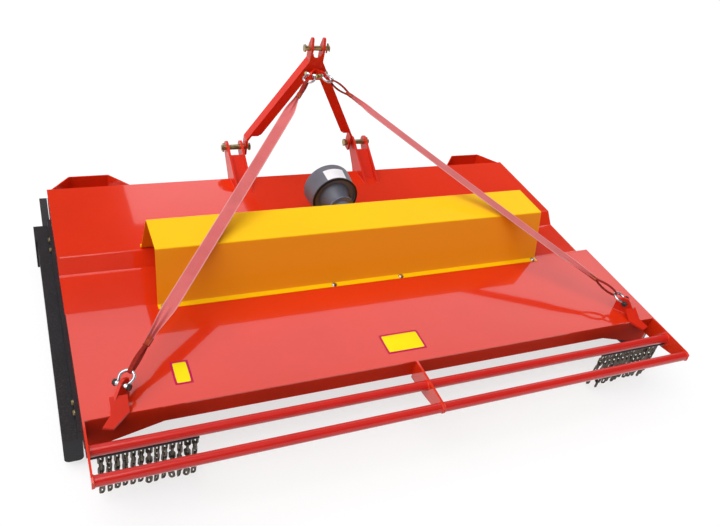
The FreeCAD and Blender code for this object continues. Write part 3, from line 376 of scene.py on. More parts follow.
def weave_group():
    """Webbing: two sines that cross on the belt make its twill, and its edges are raised."""
    group, given, end = new_group(
        "webbing_weave",
        [("Along", "NodeSocketFloat", 0.0), ("Across", "NodeSocketFloat", 0.0),
         ("Rib", "NodeSocketFloat", 0.0018), ("Half Width", "NodeSocketFloat", 0.029)],
        [("Height", "NodeSocketFloat"), ("Edge", "NodeSocketFloat"),
         ("Thread", "NodeSocketFloat")])
    rib_turn = 6.2832       # radians from one rib to the next
    turn = maths(group, "DIVIDE", given["Along"], given["Rib"])
    slant = maths(group, "DIVIDE", given["Across"], given["Rib"])
    first, second = (maths(group, "SINE", maths(group, "MULTIPLY",
                                                maths(group, way, turn, slant), rib_turn))
                     for way in ("ADD", "SUBTRACT"))
    thread = maths(group, "MULTIPLY", maths(group, "ADD", first, second), 0.5)
    away = maths(group, "DIVIDE", maths(group, "ABSOLUTE", given["Across"]),
                 given["Half Width"])
    edge = remap(group, away, 0.84, 0.9, 0.0, 1.0)
    height = maths(group, "ADD", maths(group, "MULTIPLY", thread, 0.5),
                   maths(group, "MULTIPLY", edge, 0.8))
    set_inputs(group, end, Height=height, Edge=edge,
               Thread=remap(group, thread, -1.0, 1.0, 0.0, 1.0))
    return group


GROUPS = {}


def shader_groups():
    """Builds the shared shader groups once."""
    if not GROUPS:
        GROUPS.update(tone=tone_group(), grain=peel_group(), scuffs=scuff_group(),
                      weave=weave_group())
    return GROUPS


def use_group(tree, group, **values):
    """Places a group in a material, with its inputs filled."""
    node = new_node(tree, "Group")
    node.node_tree = group
    return set_inputs(tree, node, **values)


def new_material(name):
    """Material with a Principled shader; gives it, its tree and the shader."""
    material = bpy.data.materials.new(name)
    material.use_nodes = True
    tree = material.node_tree
    return material, tree, tree.nodes["Principled BSDF"]


def rgba(colour):
    """A colour with its alpha at 1."""
    return (colour[0], colour[1], colour[2], 1.0)


def shade(colour, share, green=None, blue=None):
    """A colour times one share, or its red, green and blue each times their own."""
    shares = (share, share, share) if green is None else (share, green, blue)
    return tuple(s * c for s, c in zip(shares, colour))


def raise_surface(tree, shader, height, strength, depth):
    """Bump of a height, given to a shader's normal."""
    relief = new_node(tree, "Bump", Height=height, Strength=strength, Distance=depth)
    set_inputs(tree, shader, Normal=relief.outputs["Normal"])


def coated(name, colour, deep, gloss=0.25, coat=0.0, metallic=0.0, dust=0.05, drift=0.4,
           scale=5.0, grain=320.0, coarse=0.3, depth=0.0002, bump=0.15, bare=0.0,
           bare_colour=(0.4, 0.39, 0.38), specular=0.5, dust_colour=(0.42, 0.36, 0.3),
           coat_rough=0.08, side=0.0, painted_shade_colour=(0.5, 0.1, 0.05)):
    """Paint, plating or casting: drifting colour, a film of dust, grain and bare scuffs, with
    painted shade on steep faces by the side share.
    """
    groups = shader_groups()
    material, tree, shader = new_material(name)
    place = new_node(tree, "TexCoord").outputs["Object"]
    # The side share paints shade on steep faces in its own deeper colour.
    tone = use_group(tree, groups["tone"], Vector=place, Colour=rgba(colour),
                     Deep_Colour=rgba(deep), Dust_Colour=rgba(dust_colour), Drift=drift,
                     Side_Colour=rgba(painted_shade_colour), Side=side, Dust=dust, Gloss=gloss,
                     Scale=scale)
    body = tone.outputs["Colour"]
    if bare > 0.0:
        mask = use_group(tree, groups["scuffs"], Vector=place, Amount=bare).outputs["Mask"]
        body = blend_colour(tree, mask, body, rgba(bare_colour))
    set_inputs(tree, shader, Base_Color=body, Roughness=tone.outputs["Roughness"],
               Metallic=metallic, Coat_Weight=coat, Coat_Roughness=coat_rough,
               Specular_IOR_Level=specular)
    skin = use_group(tree, groups["grain"], Vector=place, Scale=grain, Coarse=coarse)
    raise_surface(tree, shader, skin.outputs["Height"], bump, depth)
    return material


def rim_plastic(name, colour, rim_colour, rim_until, rim_from, axis_z):
    """Moulded guard: grey plastic, black on its rear rim outside a radius from its axis."""
    edge = 0.0008           # width over which one colour passes into the other
    material = coated(name, colour, shade(colour, 0.7), gloss=0.42, dust=0.04, drift=0.5,
                      scale=9.0, grain=900.0, coarse=1.2, depth=0.0003, bump=0.35,
                      specular=0.45)
    tree = material.node_tree
    shader = tree.nodes["Principled BSDF"]
    body = shader.inputs["Base Color"].links[0].from_socket
    place = parts_of(tree, tree.nodes["Texture Coordinate"].outputs["Object"])
    height = maths(tree, "SUBTRACT", place["Z"], axis_z)
    square = maths(tree, "ADD", maths(tree, "MULTIPLY", place["X"], place["X"]),
                   maths(tree, "MULTIPLY", height, height))
    outside = remap(tree, maths(tree, "SQRT", square), rim_from, rim_from + edge, 0.0, 1.0)
    rim = remap(tree, place["Y"], rim_until, rim_until + edge, 1.0, 0.0)
    rim = maths(tree, "MULTIPLY", rim, outside)
    set_inputs(tree, shader, Base_Color=blend_colour(tree, rim, body, rgba(rim_colour)))
    return material


def webbing(name, colour, deep, half_width, rib):
    """Woven belt on its own map: u along and v across, both in metres."""
    thread_depth, edge_fade, sheen = 0.22, 0.6, 0.25
    groups = shader_groups()
    material, tree, shader = new_material(name)
    coords = new_node(tree, "TexCoord").outputs
    belt = parts_of(tree, coords["UV"])
    weave = use_group(tree, groups["weave"], Along=belt["X"], Across=belt["Y"], Rib=rib,
                      Half_Width=half_width)
    tone = use_group(tree, groups["tone"], Vector=coords["Object"],
                     Colour=rgba(colour), Deep_Colour=rgba(deep),
                     Dust_Colour=rgba((0.5, 0.36, 0.33)), Drift=0.35, Dust=0.15, Gloss=0.62,
                     Scale=7.0)
    cloth = blend_colour(tree, maths(tree, "MULTIPLY", weave.outputs["Thread"], thread_depth),
                         tone.outputs["Colour"], rgba(deep))
    cloth = blend_colour(tree, maths(tree, "MULTIPLY", weave.outputs["Edge"], edge_fade),
                         cloth, rgba(tuple(0.3 + 0.62 * c for c in colour)))
    set_inputs(tree, shader, Base_Color=cloth, Roughness=tone.outputs["Roughness"],
               Sheen_Weight=sheen)
    raise_surface(tree, shader, weave.outputs["Height"], 0.5, 0.0004)
    return material


def coats(paint):
    """Colour, deeper colour and other values of each paint, plating, casting and plastic."""
    red, yellow, black, plate = (tuple(c) for c in (paint.red, paint.yellow, paint.black,
                                                    paint.plate))
    return {
        "red_enamel": (red, shade(red, 0.86), dict(
            gloss=0.16, coat=1.0, dust=0.01, drift=0.5, scale=2.2, bump=0.06, specular=0.2,
            coat_rough=0.045)),
        "frame_enamel": (shade(red, 0.93, 0.75, 1.0), shade(red, 0.76, 0.55, 1.0), dict(
            gloss=0.34, coat=0.3, dust=0.01, drift=0.6, scale=6.0, bump=0.08, specular=0.15,
            coat_rough=0.12)),
        "tube_enamel": (shade(red, 0.86, 0.5, 1.6), shade(red, 0.72, 0.4, 1.6), dict(
            gloss=0.28, coat=0.75, dust=0.01, drift=0.6, scale=6.0, bump=0.08, specular=0.2,
            coat_rough=0.16)),
        "red_weld": (red, shade(red, 0.7), dict(
            gloss=0.3, dust=0.04, drift=0.6, scale=30.0, grain=700.0, coarse=1.0, bump=0.3)),
        # The cover's steep faces get painted shade: a deeper orange yellow, the look of the shade
        # that falls on them.
        "cover_enamel": (yellow, shade(yellow, 0.94, 0.9, 1.0), dict(
            gloss=0.34, coat=0.1, dust=0.01, drift=0.5, scale=2.5, bump=0.06, specular=0.12,
            side=1.0, painted_shade_colour=shade(yellow, 0.88, 0.5, 0.5))),
        # Painted shade: the skirts, which face away from the light, take the red at 0.78 of its
        # strength, in a matt finish.
        "red_flat_painted_shade": (shade(red, 0.78), shade(red, 0.62), dict(
            gloss=0.5, dust=0.01, drift=0.6, scale=5.0, bump=0.1, specular=0.06)),
        "skid_black": (black, shade(black, 0.6), dict(
            gloss=0.44, dust=0.06, drift=0.6, scale=7.0, grain=420.0, coarse=0.8, bump=0.25,
            bare=0.35, bare_colour=(0.16, 0.155, 0.15), specular=0.25)),
        "chain_steel": ((0.15, 0.125, 0.1), (0.035, 0.024, 0.017), dict(
            gloss=0.38, metallic=0.7, dust=0.2, drift=0.9, scale=60.0, grain=900.0, coarse=0.8,
            bump=0.3, dust_colour=(0.09, 0.055, 0.033))),
        "bright_zinc": ((0.66, 0.68, 0.71), (0.3, 0.31, 0.33), dict(
            gloss=0.2, metallic=1.0, dust=0.03, drift=0.8, scale=45.0, grain=800.0,
            bump=0.12)),
        "dark_bolt": ((0.045, 0.042, 0.04), (0.02, 0.02, 0.02), dict(
            gloss=0.38, metallic=0.6, dust=0.08, drift=0.5, scale=40.0, grain=900.0,
            bump=0.3)),
        "yellow_zinc": ((0.45, 0.345, 0.15), (0.19, 0.15, 0.085), dict(
            gloss=0.28, metallic=0.9, dust=0.03, drift=0.9, scale=55.0, grain=900.0,
            bump=0.2)),
        "machined": ((0.22, 0.245, 0.33), (0.13, 0.145, 0.2), dict(
            gloss=0.3, metallic=0.7, dust=0.02, drift=0.5, scale=30.0, grain=800.0,
            bump=0.12)),
        "strap_binding": ((0.40, 0.052, 0.018), (0.24, 0.02, 0.01), dict(
            gloss=0.6, dust=0.03, drift=0.8, scale=80.0, grain=1400.0, coarse=0.6, bump=0.6,
            specular=0.1)),
        "strap_eye": ((0.32, 0.022, 0.014), (0.16, 0.012, 0.008), dict(
            gloss=0.65, dust=0.02, drift=0.9, scale=120.0, grain=1500.0, coarse=0.6, bump=0.7,
            specular=0.08)),
        "cast_iron": ((0.10, 0.11, 0.145), (0.05, 0.055, 0.075), dict(
            gloss=0.46, dust=0.05, drift=0.6, scale=10.0, grain=520.0, coarse=2.0,
            depth=0.0006, bump=0.6)),
        "rolled_steel": ((0.3, 0.29, 0.28), (0.16, 0.13, 0.11), dict(
            gloss=0.36, metallic=0.85, dust=0.15, drift=0.8, scale=12.0, grain=600.0, bump=0.3,
            bare=0.8, bare_colour=(0.6, 0.59, 0.57))),
        "shaft_plastic": ((0.03, 0.03, 0.032), (0.015, 0.015, 0.016), dict(
            gloss=0.45, dust=0.1, drift=0.4, grain=700.0, coarse=1.0, bump=0.3)),
        "plate_yellow": (plate, shade(plate, 0.93), dict(
            gloss=0.42, dust=0.01, drift=0.3, scale=20.0, grain=900.0, bump=0.08,
            specular=0.12)),
        "plate_border": ((0.52, 0.002, 0.075), (0.44, 0.002, 0.06), dict(
            gloss=0.36, dust=0.0, drift=0.3, scale=20.0, grain=900.0, bump=0.08,
            specular=0.2)),
        "plate_white": ((0.82, 0.8, 0.82), (0.74, 0.72, 0.76), dict(
            gloss=0.3, dust=0.03, drift=0.4, scale=30.0, grain=900.0, bump=0.06)),
    }


def bell_finish(name):
    """Grey plastic of the input guard, black on the rear face of its rim."""
    rim_depth, rim_radius = 0.0078, 0.1095
    rear = float(node_box("input_guard")[0][1])
    return rim_plastic(name, (0.135, 0.135, 0.165), (0.005, 0.005, 0.006), rear + rim_depth,
                       rim_radius, float(middle_of("input_guard")[2]))


MATERIALS = {}


def finish_of(name):
    """The material of a finish, built when it is first asked for."""
    if name not in MATERIALS:
        table = coats(bpy.context.scene.mower_paint)
        if name == "bell_plastic":
            MATERIALS[name] = bell_finish(name)
        elif name == "strap_webbing":
            straps = bpy.context.scene.mower_straps
            MATERIALS[name] = webbing(name, tuple(straps.colour), tuple(straps.deep_colour),
                                      straps.width / 2.0, straps.rib)
        elif name in table:
            colour, deep, values = table[name]
            MATERIALS[name] = coated(name, colour, deep, **values)
        else:
            raise RuntimeError("no finish is called " + name)
    return MATERIALS[name]


# The finish of the CAD nodes whose names start so; the others are red enamel.
NODE_FINISHES = (
    # The skirts take the matt red with painted shade.
    ("drive_cover", "cover_enamel"), ("rear_skirt", "red_flat_painted_shade"), ("front_skirt", "red_flat_painted_shade"),
    ("skid_bolts", "yellow_zinc"), ("skid", "skid_black"), ("chain_rails", "skid_black"),
    ("chains", "chain_steel"), ("gearbox", "cast_iron"), ("spindle", "cast_iron"),
    ("cross_shaft", "shaft_plastic"), ("input_guard", "bell_plastic"),
    ("input_stub", "bright_zinc"), ("shackles", "bright_zinc"), ("hitch_pin", "yellow_zinc"),
    ("top_pin", "yellow_zinc"), ("blades", "rolled_steel"), ("mast", "frame_enamel"),
    ("hitch_bracket", "frame_enamel"), ("strap", "frame_enamel"),
    ("guard_tube", "tube_enamel"))


def node_finish(name):
    """Which finish a CAD node takes, from the first part of its name."""
    for start, finish in NODE_FINISHES:
        if name.startswith(start):
            return finish
    return "red_enamel"


# ---- sizes --------------------------------------------------------------
def length_field(name, description, default):
    """Property for a length in metres."""
    return FloatProperty(name=name, description=description, default=default,
                         subtype="DISTANCE")


def angle_field(name, description, default):
    """Property for an angle in radians."""
    return FloatProperty(name=name, description=description, default=default, subtype="ANGLE")


def share_field(name, description, default):
    """Property for a share from 0 to 1."""
    return FloatProperty(name=name, description=description, default=default, min=0.0, max=1.0)


def colour_field(name, description, default):
    """Property for a colour."""
    return FloatVectorProperty(name=name, description=description, default=default,
                               subtype="COLOR", min=0.0, max=1.0)


class MowerPaint(bpy.types.PropertyGroup):
    red: colour_field("Red", "Enamel of the deck, guard and mast", (0.73, 0.030, 0.005))
    yellow: colour_field("Yellow", "Enamel of the drive cover", (0.96, 0.56, 0.002))
    black: colour_field("Black", "Satin paint of skids and rails", (0.015, 0.0145, 0.018))
    plate: colour_field("Plate", "Blank plates on the rear panel", (0.93, 0.76, 0.004))


class MowerCurtains(bpy.types.PropertyGroup):
    wire: length_field("Wire", "Thickness of a link's wire", 0.0098)
    width: length_field("Width", "Outside width of a link", 0.0262)
    chains: IntProperty(name="Chains", description="Chains in one curtain", default=13)
    links: IntProperty(name="Links", description="Links in one chain", default=7)
    swing: angle_field("Swing", "How far links turn from square", 0.22)


class MowerStraps(bpy.types.PropertyGroup):
    width: length_field("Width", "True width of the webbing", 0.058)
    thick: length_field("Thickness", "Thickness of the webbing", 0.0026)
    eye: length_field("Eye width", "Width where it is gathered", 0.022)
    rib: length_field("Rib", "Pitch of the weave", 0.0022)
    colour: colour_field("Colour", "Face of the webbing", (0.66, 0.115, 0.112))
    deep_colour: colour_field("Deep colour", "Between the threads", (0.36, 0.03, 0.032))


class MowerFasteners(bpy.types.PropertyGroup):
    hexagon: length_field("Hexagon", "Width across the flats of a head", 0.018)
    head: length_field("Head", "Height of a head", 0.0075)
    weld: length_field("Weld", "Radius of a weld bead", 0.0032)


class MowerStage(bpy.types.PropertyGroup):
    floor: colour_field("Floor", "Colour of the floor", (1.0, 1.0, 1.0))
    bounce: share_field("Bounce", "Share of the floor's colour that it throws back on to the mower",
                        0.45)
    glow: share_field("Glow", "Share of the floor's white that no shadow dims", 0.68)
    camera: FloatVectorProperty(name="Camera", description="Place of the camera",
                                default=(-1.4448, -2.5494, 2.4650), subtype="TRANSLATION")
    azimuth: angle_field("Azimuth", "Heading of the camera from +Y to +X", math.radians(30.033))
    elevation: angle_field("Elevation", "Dip of the camera", math.radians(-36.599))
    roll: angle_field("Roll", "Roll of the camera", math.radians(12.400))
    lens: FloatProperty(name="Lens", description="Focal length on a 36 mm frame",
                        default=36.891)


# ---- geometry of this mower ---------------------------------------------
# Holes of the right strap: in its rear bracket, and in its lug behind the mast head.
LOW_HOLE = np.array([1.2, REAR_EDGE + 0.084, DECK_TOP + 0.062])
TOP_HOLE = np.array([0.032, FRONT_EDGE + 0.00112, 0.90342])
BOW = 0.062             # from a hole to the middle of its shackle's bow
UP = (0.0, 0.0, 1.0)
AHEAD = (0.0, 1.0, 0.0)


def strap_axes(side):
    """Ends of a strap and its three directions: along, level across, and up from its face."""
    flip = np.array([side, 1.0, 1.0])
    low, top = LOW_HOLE * flip, TOP_HOLE * flip
    way = unit(top - low)
    level = unit(np.array([way[1], -way[0], 0.0]))
    return low, top, way, level, np.cross(level, way)


def hex_bolt(flats, height, washer=1.25):
    """Washer and hexagon head along +Z: rings of 6 corners, the crown a smaller ring."""
    corner = flats / math.sqrt(3.0)
    thin, shoulder, crown, dimple = 0.22 * height, 0.78 * height, 0.84 * corner, 0.96 * height
    ring = lathe([(0.0, 0.0), (washer * corner, 0.0), (washer * corner, thin),
                  (0.0, thin)], 20)
    head = lathe([(0.0, thin * 0.5), (corner, thin * 0.5), (corner, shoulder),
                  (crown, height), (corner * 0.3, height), (0.0, dimple)], 6)
    return stack([ring, head])


BEAD_SIDES = 6
BEAD_STEP = 0.003       # between the rings of a weld bead
BEAD_PITCH = 0.0085     # between its ripples
BEAD_RIPPLE = 0.13      # how much its radius grows and shrinks
RING_STEPS = 44         # of a bead round a tube, and its ripples
RING_RIPPLES = 11.0


def weld_line(start, stop, radius):
    """Bead between two points: a thin tube whose radius ripples along its length."""
    start, stop = np.asarray(start, float), np.asarray(stop, float)
    length = np.linalg.norm(stop - start)
    t = np.linspace(0.0, 1.0, max(6, int(length / BEAD_STEP)))[:, None]
    ripple = radius * (1.0 + BEAD_RIPPLE * np.sin(TURN * t[:, 0] * length / BEAD_PITCH))
    return tube(start + (stop - start) * t, ripple, BEAD_SIDES)


def weld_ring(centre, ring_radius, radius, axis):
    """Bead round a tube: a circle of the ring radius with a rippling round section."""
    a = circle(RING_STEPS)
    place = frame_at(centre, axis)
    flat = np.stack([ring_radius * np.cos(a), ring_radius * np.sin(a), 0.0 * a], axis=-1)
    path = flat @ place[:3, :3].T + place[:3, 3]
    ripple = radius * (1.0 + BEAD_RIPPLE * np.sin(RING_RIPPLES * a))
    return tube(path, ripple, BEAD_SIDES, closed=True)


def rounded_sheet(half_x, half_y, corner, thick, columns=40):
    """Thin plate: rings whose outline is a clipped box plus a round of the corner's radius."""
    a = circle(columns)
    c, s = np.cos(a), np.sin(a)
    x = np.clip(c * 2.0, -1.0, 1.0) * (half_x - corner) + corner * c
    y = np.clip(s * 2.0, -1.0, 1.0) * (half_y - corner) + corner * s
    rings = ((0.0, 0.0), (1.0, 0.0), (1.0, thick * 0.7), (0.985, thick), (0.0, thick))
    pts = np.concatenate([np.stack([x * share, y * share, np.full(columns, z)], axis=-1)
                          for share, z in rings])
    return pts, outward(pts, grid_quads(len(rings), columns, False, True))


# ---- operators ----------------------------------------------------------
class MOWER_OT_finishes(bpy.types.Operator):
    """Give each CAD part its enamel, plating, casting or plastic."""
    bl_idname = "mower.finishes"
    bl_label = "Finishes"

    def execute(self, context):
        for name, node in NODES.items():
            node.data.materials.clear()
            node.data.materials.append(finish_of(node_finish(name)))
        return {"FINISHED"}


class MOWER_OT_curtains(bpy.types.Operator):
    """Hang the four chain curtains, link by link, from their rails."""
    bl_idname = "mower.curtains"
    bl_label = "Chain curtains"

    def execute(self, context):
        size = context.scene.mower_curtains
        for name in ("chains_rear", "chains_front"):
            low, high = node_box(name)
            pitch = (high[2] - low[2]) / size.links
            x, y = self.rear_row(size) if name == "chains_rear" else self.hood_row(size)
            x, y = np.concatenate([x, -x]), np.concatenate([y, y])
            points, quads = placed(*self.link(size, pitch),
                                   self.places(size, x, y, high[2], pitch))
            obj = make_object("links_" + name.split("_")[1], points, quads,
                              finish_of("chain_steel"), "chain_steel", sharp=ROUND)
            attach(obj, "frame")
            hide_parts(name)
        return {"FINISHED"}

    @staticmethod
    def link(size, pitch):
        """Stadium ring: two straights and two half circles, with a four-sided section.

        The middle line is (radius cos a, radius sin a + half straight, with the sign of sin a).
        """
        corners, square = 12, 1.06      # half the section's diagonal in radii of the wire
        radius = (size.width - size.wire) / 2.0
        straight = (pitch + size.wire) / 2.0 - radius
        a = (np.arange(corners) + 0.5) * TURN / corners
        path = np.stack([radius * np.cos(a), 0.0 * a,
                         radius * np.sin(a) + straight * np.sign(np.sin(a))], axis=-1)
        return tube(path, size.wire / 2.0 * square, 4, closed=True)

    @staticmethod
    def rear_row(size):
        """Even places along the rear rail, off the right half of the row's own mesh."""
        mesh = NODES["chains_rear"].data
        co = np.zeros(len(mesh.vertices) * 3, np.float32)
        mesh.vertices.foreach_get("co", co)
        x = co.reshape(-1, 3)[:, 0]
        first, last = float(x[x > 0].min()), float(x.max())
        half = size.width / 2.0
        return (np.linspace(first + half, last - half, size.chains),
                np.full(size.chains, middle_of("chains_rear")[1]))

    @staticmethod
    def hood_row(size):
        """Even places along the hood's plan, drawn in towards the middle of its open side."""
        inner, outer, drawn = 0.094, 0.090, 0.78
        low, high = node_box("front_hood_right")
        x = np.array([low[0], low[0] + inner, high[0] - outer, high[0]])
        y = np.array([low[1], high[1], high[1], low[1]])
        middle = middle_of("front_hood_right")[0]
        x, y = middle + (x - middle) * drawn, low[1] + (y - low[1]) * drawn
        run = np.concatenate([[0.0], np.cumsum(np.hypot(np.diff(x), np.diff(y)))])
        at = run[-1] * (np.arange(size.chains) + 1.0) / (size.chains + 1.0)
        return np.interp(at, run, x), np.interp(at, run, y)

    @staticmethod
    def places(size, x, y, top, pitch):
        """Where each link hangs: every second one a quarter turn on, all a little astray.

        The turn is about Z and then the tilt about Y; the place steps down by the pitch.
        """
        whole_turn, lean = 0.3, 0.05    # how far a chain turns and a link tilts, in radians
        stray = 0.0012                  # how far each link lies off the one above it
        chance = np.random.default_rng(11)
        n = len(x)
        k = np.arange(size.links)
        turn = (k % 2)[None, :] * math.pi / 2.0 + chance.normal(0.0, size.swing, (n, size.links))
        turn = turn + chance.normal(whole_turn, whole_turn, (n, 1))
        tilt = chance.normal(0.0, lean, (n, size.links))
        c, s = np.cos(turn), np.sin(turn)
        ct, st = np.cos(tilt), np.sin(tilt)
        m = np.zeros((n, size.links, 4, 4))
        m[..., 0, 0], m[..., 0, 1], m[..., 0, 2] = c * ct, -s, c * st
        m[..., 1, 0], m[..., 1, 1], m[..., 1, 2] = s * ct, c, s * st
        m[..., 2, 0], m[..., 2, 2] = -st, ct
        m[..., 0, 3] = x[:, None]
        m[..., 1, 3] = y[:, None] + chance.normal(0.0, stray, (n, 1)) * k[None, :]
        m[..., 2, 3] = top - (k + 0.5)[None, :] * pitch
        m[..., 3, 3] = 1.0
        return m.reshape(-1, 4, 4)


class MOWER_OT_straps(bpy.types.Operator):
    """Weave the two straps between the mast head and the rear brackets."""
    bl_idname = "mower.straps"
    bl_label = "Straps"

    ROD = 0.0065            # radius of a shackle's bow
    ROOM = 0.0006           # between the bow and the loop round it
    REACH = 0.122           # from the bow to where a loop's two legs meet
    BELT_START = BOW + 0.118    # from a hole to where the belt begins
    LOW_EASE = 0.20         # length over which the belt gathers, near each end
    TOP_EASE = 0.14
    SAG = 0.006             # of the belt in its middle
    LOW_BINDING = 0.196     # from a hole to the middle of its binding
    TOP_BINDING = 0.176
    BINDING_HALF = 0.019    # half the length of a binding, then its radius and its cord
    BINDING_RADIUS = 0.0088
    BINDING_CORD = 0.0007

    def execute(self, context):
        size = context.scene.mower_straps
        for side, name in ((1.0, "right"), (-1.0, "left")):
            low, top, way, level, up = strap_axes(side)
            length = np.linalg.norm(top - low)
            axes = np.stack([level, up, way])
            points, quads, uv = self.belt(size, length)
            obj = make_object("webbing_" + name, *self.hung(points, quads, low, axes),
                              finish_of("strap_webbing"), "webbing", uv=uv, sharp=WOVEN)
            for far, end, body in ((False, "low", "frame"), (True, "top", "mast")):
                points, quads, uv = self.eye(size, length, far)
                loop = make_object("eye_" + end + "_" + name,
                                   *self.hung(points, quads, low, axes),
                                   finish_of("strap_eye"), "webbing", uv=uv, sharp=WOVEN)
                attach(loop, body)
            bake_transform(obj)
            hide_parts("strap_" + name)
            self.binding(size, "binding_low_" + name, low + way * self.LOW_BINDING, level, way,
                         up, "frame")
            self.binding(size, "binding_top_" + name, top - way * self.TOP_BINDING, level, way,
                         up, "mast")
        return {"FINISHED"}

    @staticmethod
    def hung(points, quads, low, axes):
        """A strap's own axes to the mower's: low + points . axes, with faces turned outwards."""
        world = low + points @ axes
        return world, outward(world - world.mean(0), quads)

    def binding(self, size, name, centre, level, way, up, body):
        """Stitched sleeve round a gathered end: turned cord rings on an oval section.

        The radius follows |sin| over nine humps; the section is wider across than it is thick.
        """
        wide, flat = size.eye / 0.022 * 1.5, 0.95       # shares of the radius, across and up
        t = np.linspace(0.0, 1.0, 55)
        ripple = self.BINDING_CORD * np.abs(np.sin(9.0 * math.pi * t))
        half = self.BINDING_HALF
        side = np.stack([self.BINDING_RADIUS + ripple, -half + 2.0 * half * t], -1)
        points, quads = lathe(np.concatenate([[[0.0, -half]], side, [[0.0, half]]]), 20)
        points = points * np.array([wide, flat, 1.0])
        world = centre + points[:, :1] * level + points[:, 1:2] * up + points[:, 2:] * way
        obj = make_object(name, world, outward(world - world.mean(0), quads),
                          finish_of("strap_binding"), "webbing", sharp=WOVEN, merge=True)
        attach(obj, body)

    def belt(self, size, length):
        """Belt along Z: it keeps its true width, so where it narrows it gathers into a W.

        Half width w runs from the eye to the full belt over smooth steps; across it the
        height is A cos(2 pi t), with A so that four slanting quarters add up to the width.
        """
        start = self.BELT_START
        s = np.linspace(start, length - start, 150)
        full, eye = size.width / 2.0, size.eye / 2.0
        near = np.clip((s - start) / self.LOW_EASE, 0.0, 1.0)
        far = np.clip((length - start - s) / self.TOP_EASE, 0.0, 1.0)
        ease = np.minimum(near * near * (3.0 - 2.0 * near), far * far * (3.0 - 2.0 * far))
        w = eye + (full - eye) * ease
        quarter = size.width / 4.0
        lift = 0.5 * np.sqrt(np.maximum(quarter ** 2 - (w / 2.0) ** 2, 0.0))
        t = np.linspace(-1.0, 1.0, 21)
        x = w[:, None] * t[None, :]
        z = lift[:, None] * np.cos(TURN * t)[None, :]
        z = z - (self.SAG * np.sin(math.pi * (s - start) / (length - 2.0 * start)))[:, None]
        along = np.broadcast_to(s[:, None], x.shape)
        points, quads = strip(np.stack([x, z + size.thick / 2.0, along], -1),
                              np.stack([x, z - size.thick / 2.0, along], -1))
        return points, quads, strip_map(s, t * size.width / 2.0)

    def eye(self, size, length, far):
        """Loop round the shackle: a folded band carried round a drop-shaped path.

        The path is a half circle round the rod; its two legs bulge by 6 u (1 - u)^1.2 of
        the rod and meet where the belt starts.
        """
        rod = self.ROD + self.ROOM + size.thick / 2.0
        gap, curved = 0.0016, 0.0012    # from the middle to each leg, and the band's curl
        share = 0.74                    # the band's share of the eye's width
        a = np.linspace(math.pi, TURN, 17)
        bend = np.stack([rod * np.cos(a), BOW + rod * np.sin(a)], -1)
        u = np.linspace(0.0, 1.0, 14)[1:]
        leg = rod * ((1.0 - u) ** 1.5 + 6.0 * u * (1.0 - u) ** 1.2) + gap
        rising = np.stack([leg, BOW + u * self.REACH], -1)
        path = np.concatenate([(rising * np.array([-1.0, 1.0]))[::-1], bend, rising])
        ahead = unit(np.gradient(path, axis=0))
        normal = np.stack([ahead[:, 1], -ahead[:, 0]], -1)
        half, thick = size.eye / 2.0 * share, size.thick / 2.0
        t = np.linspace(-1.0, 1.0, 9)
        curl = curved * (1.0 - t * t)
        sheets = []
        for off in (thick + curl, -(thick - curl)):
            flat = path[:, None] + normal[:, None] * off[None, :, None]
            x = np.broadcast_to((half * t)[None, :], flat.shape[:2])
            sheets.append(np.stack([x, flat[..., 0], flat[..., 1]], -1))
        points, quads = strip(*sheets)
        if far:
            points[:, 2] = length - points[:, 2]
        run = np.concatenate([[0.0], np.cumsum(np.linalg.norm(np.diff(path, axis=0), axis=1))])
        return points, quads, strip_map(run, t * size.eye / 2.0)


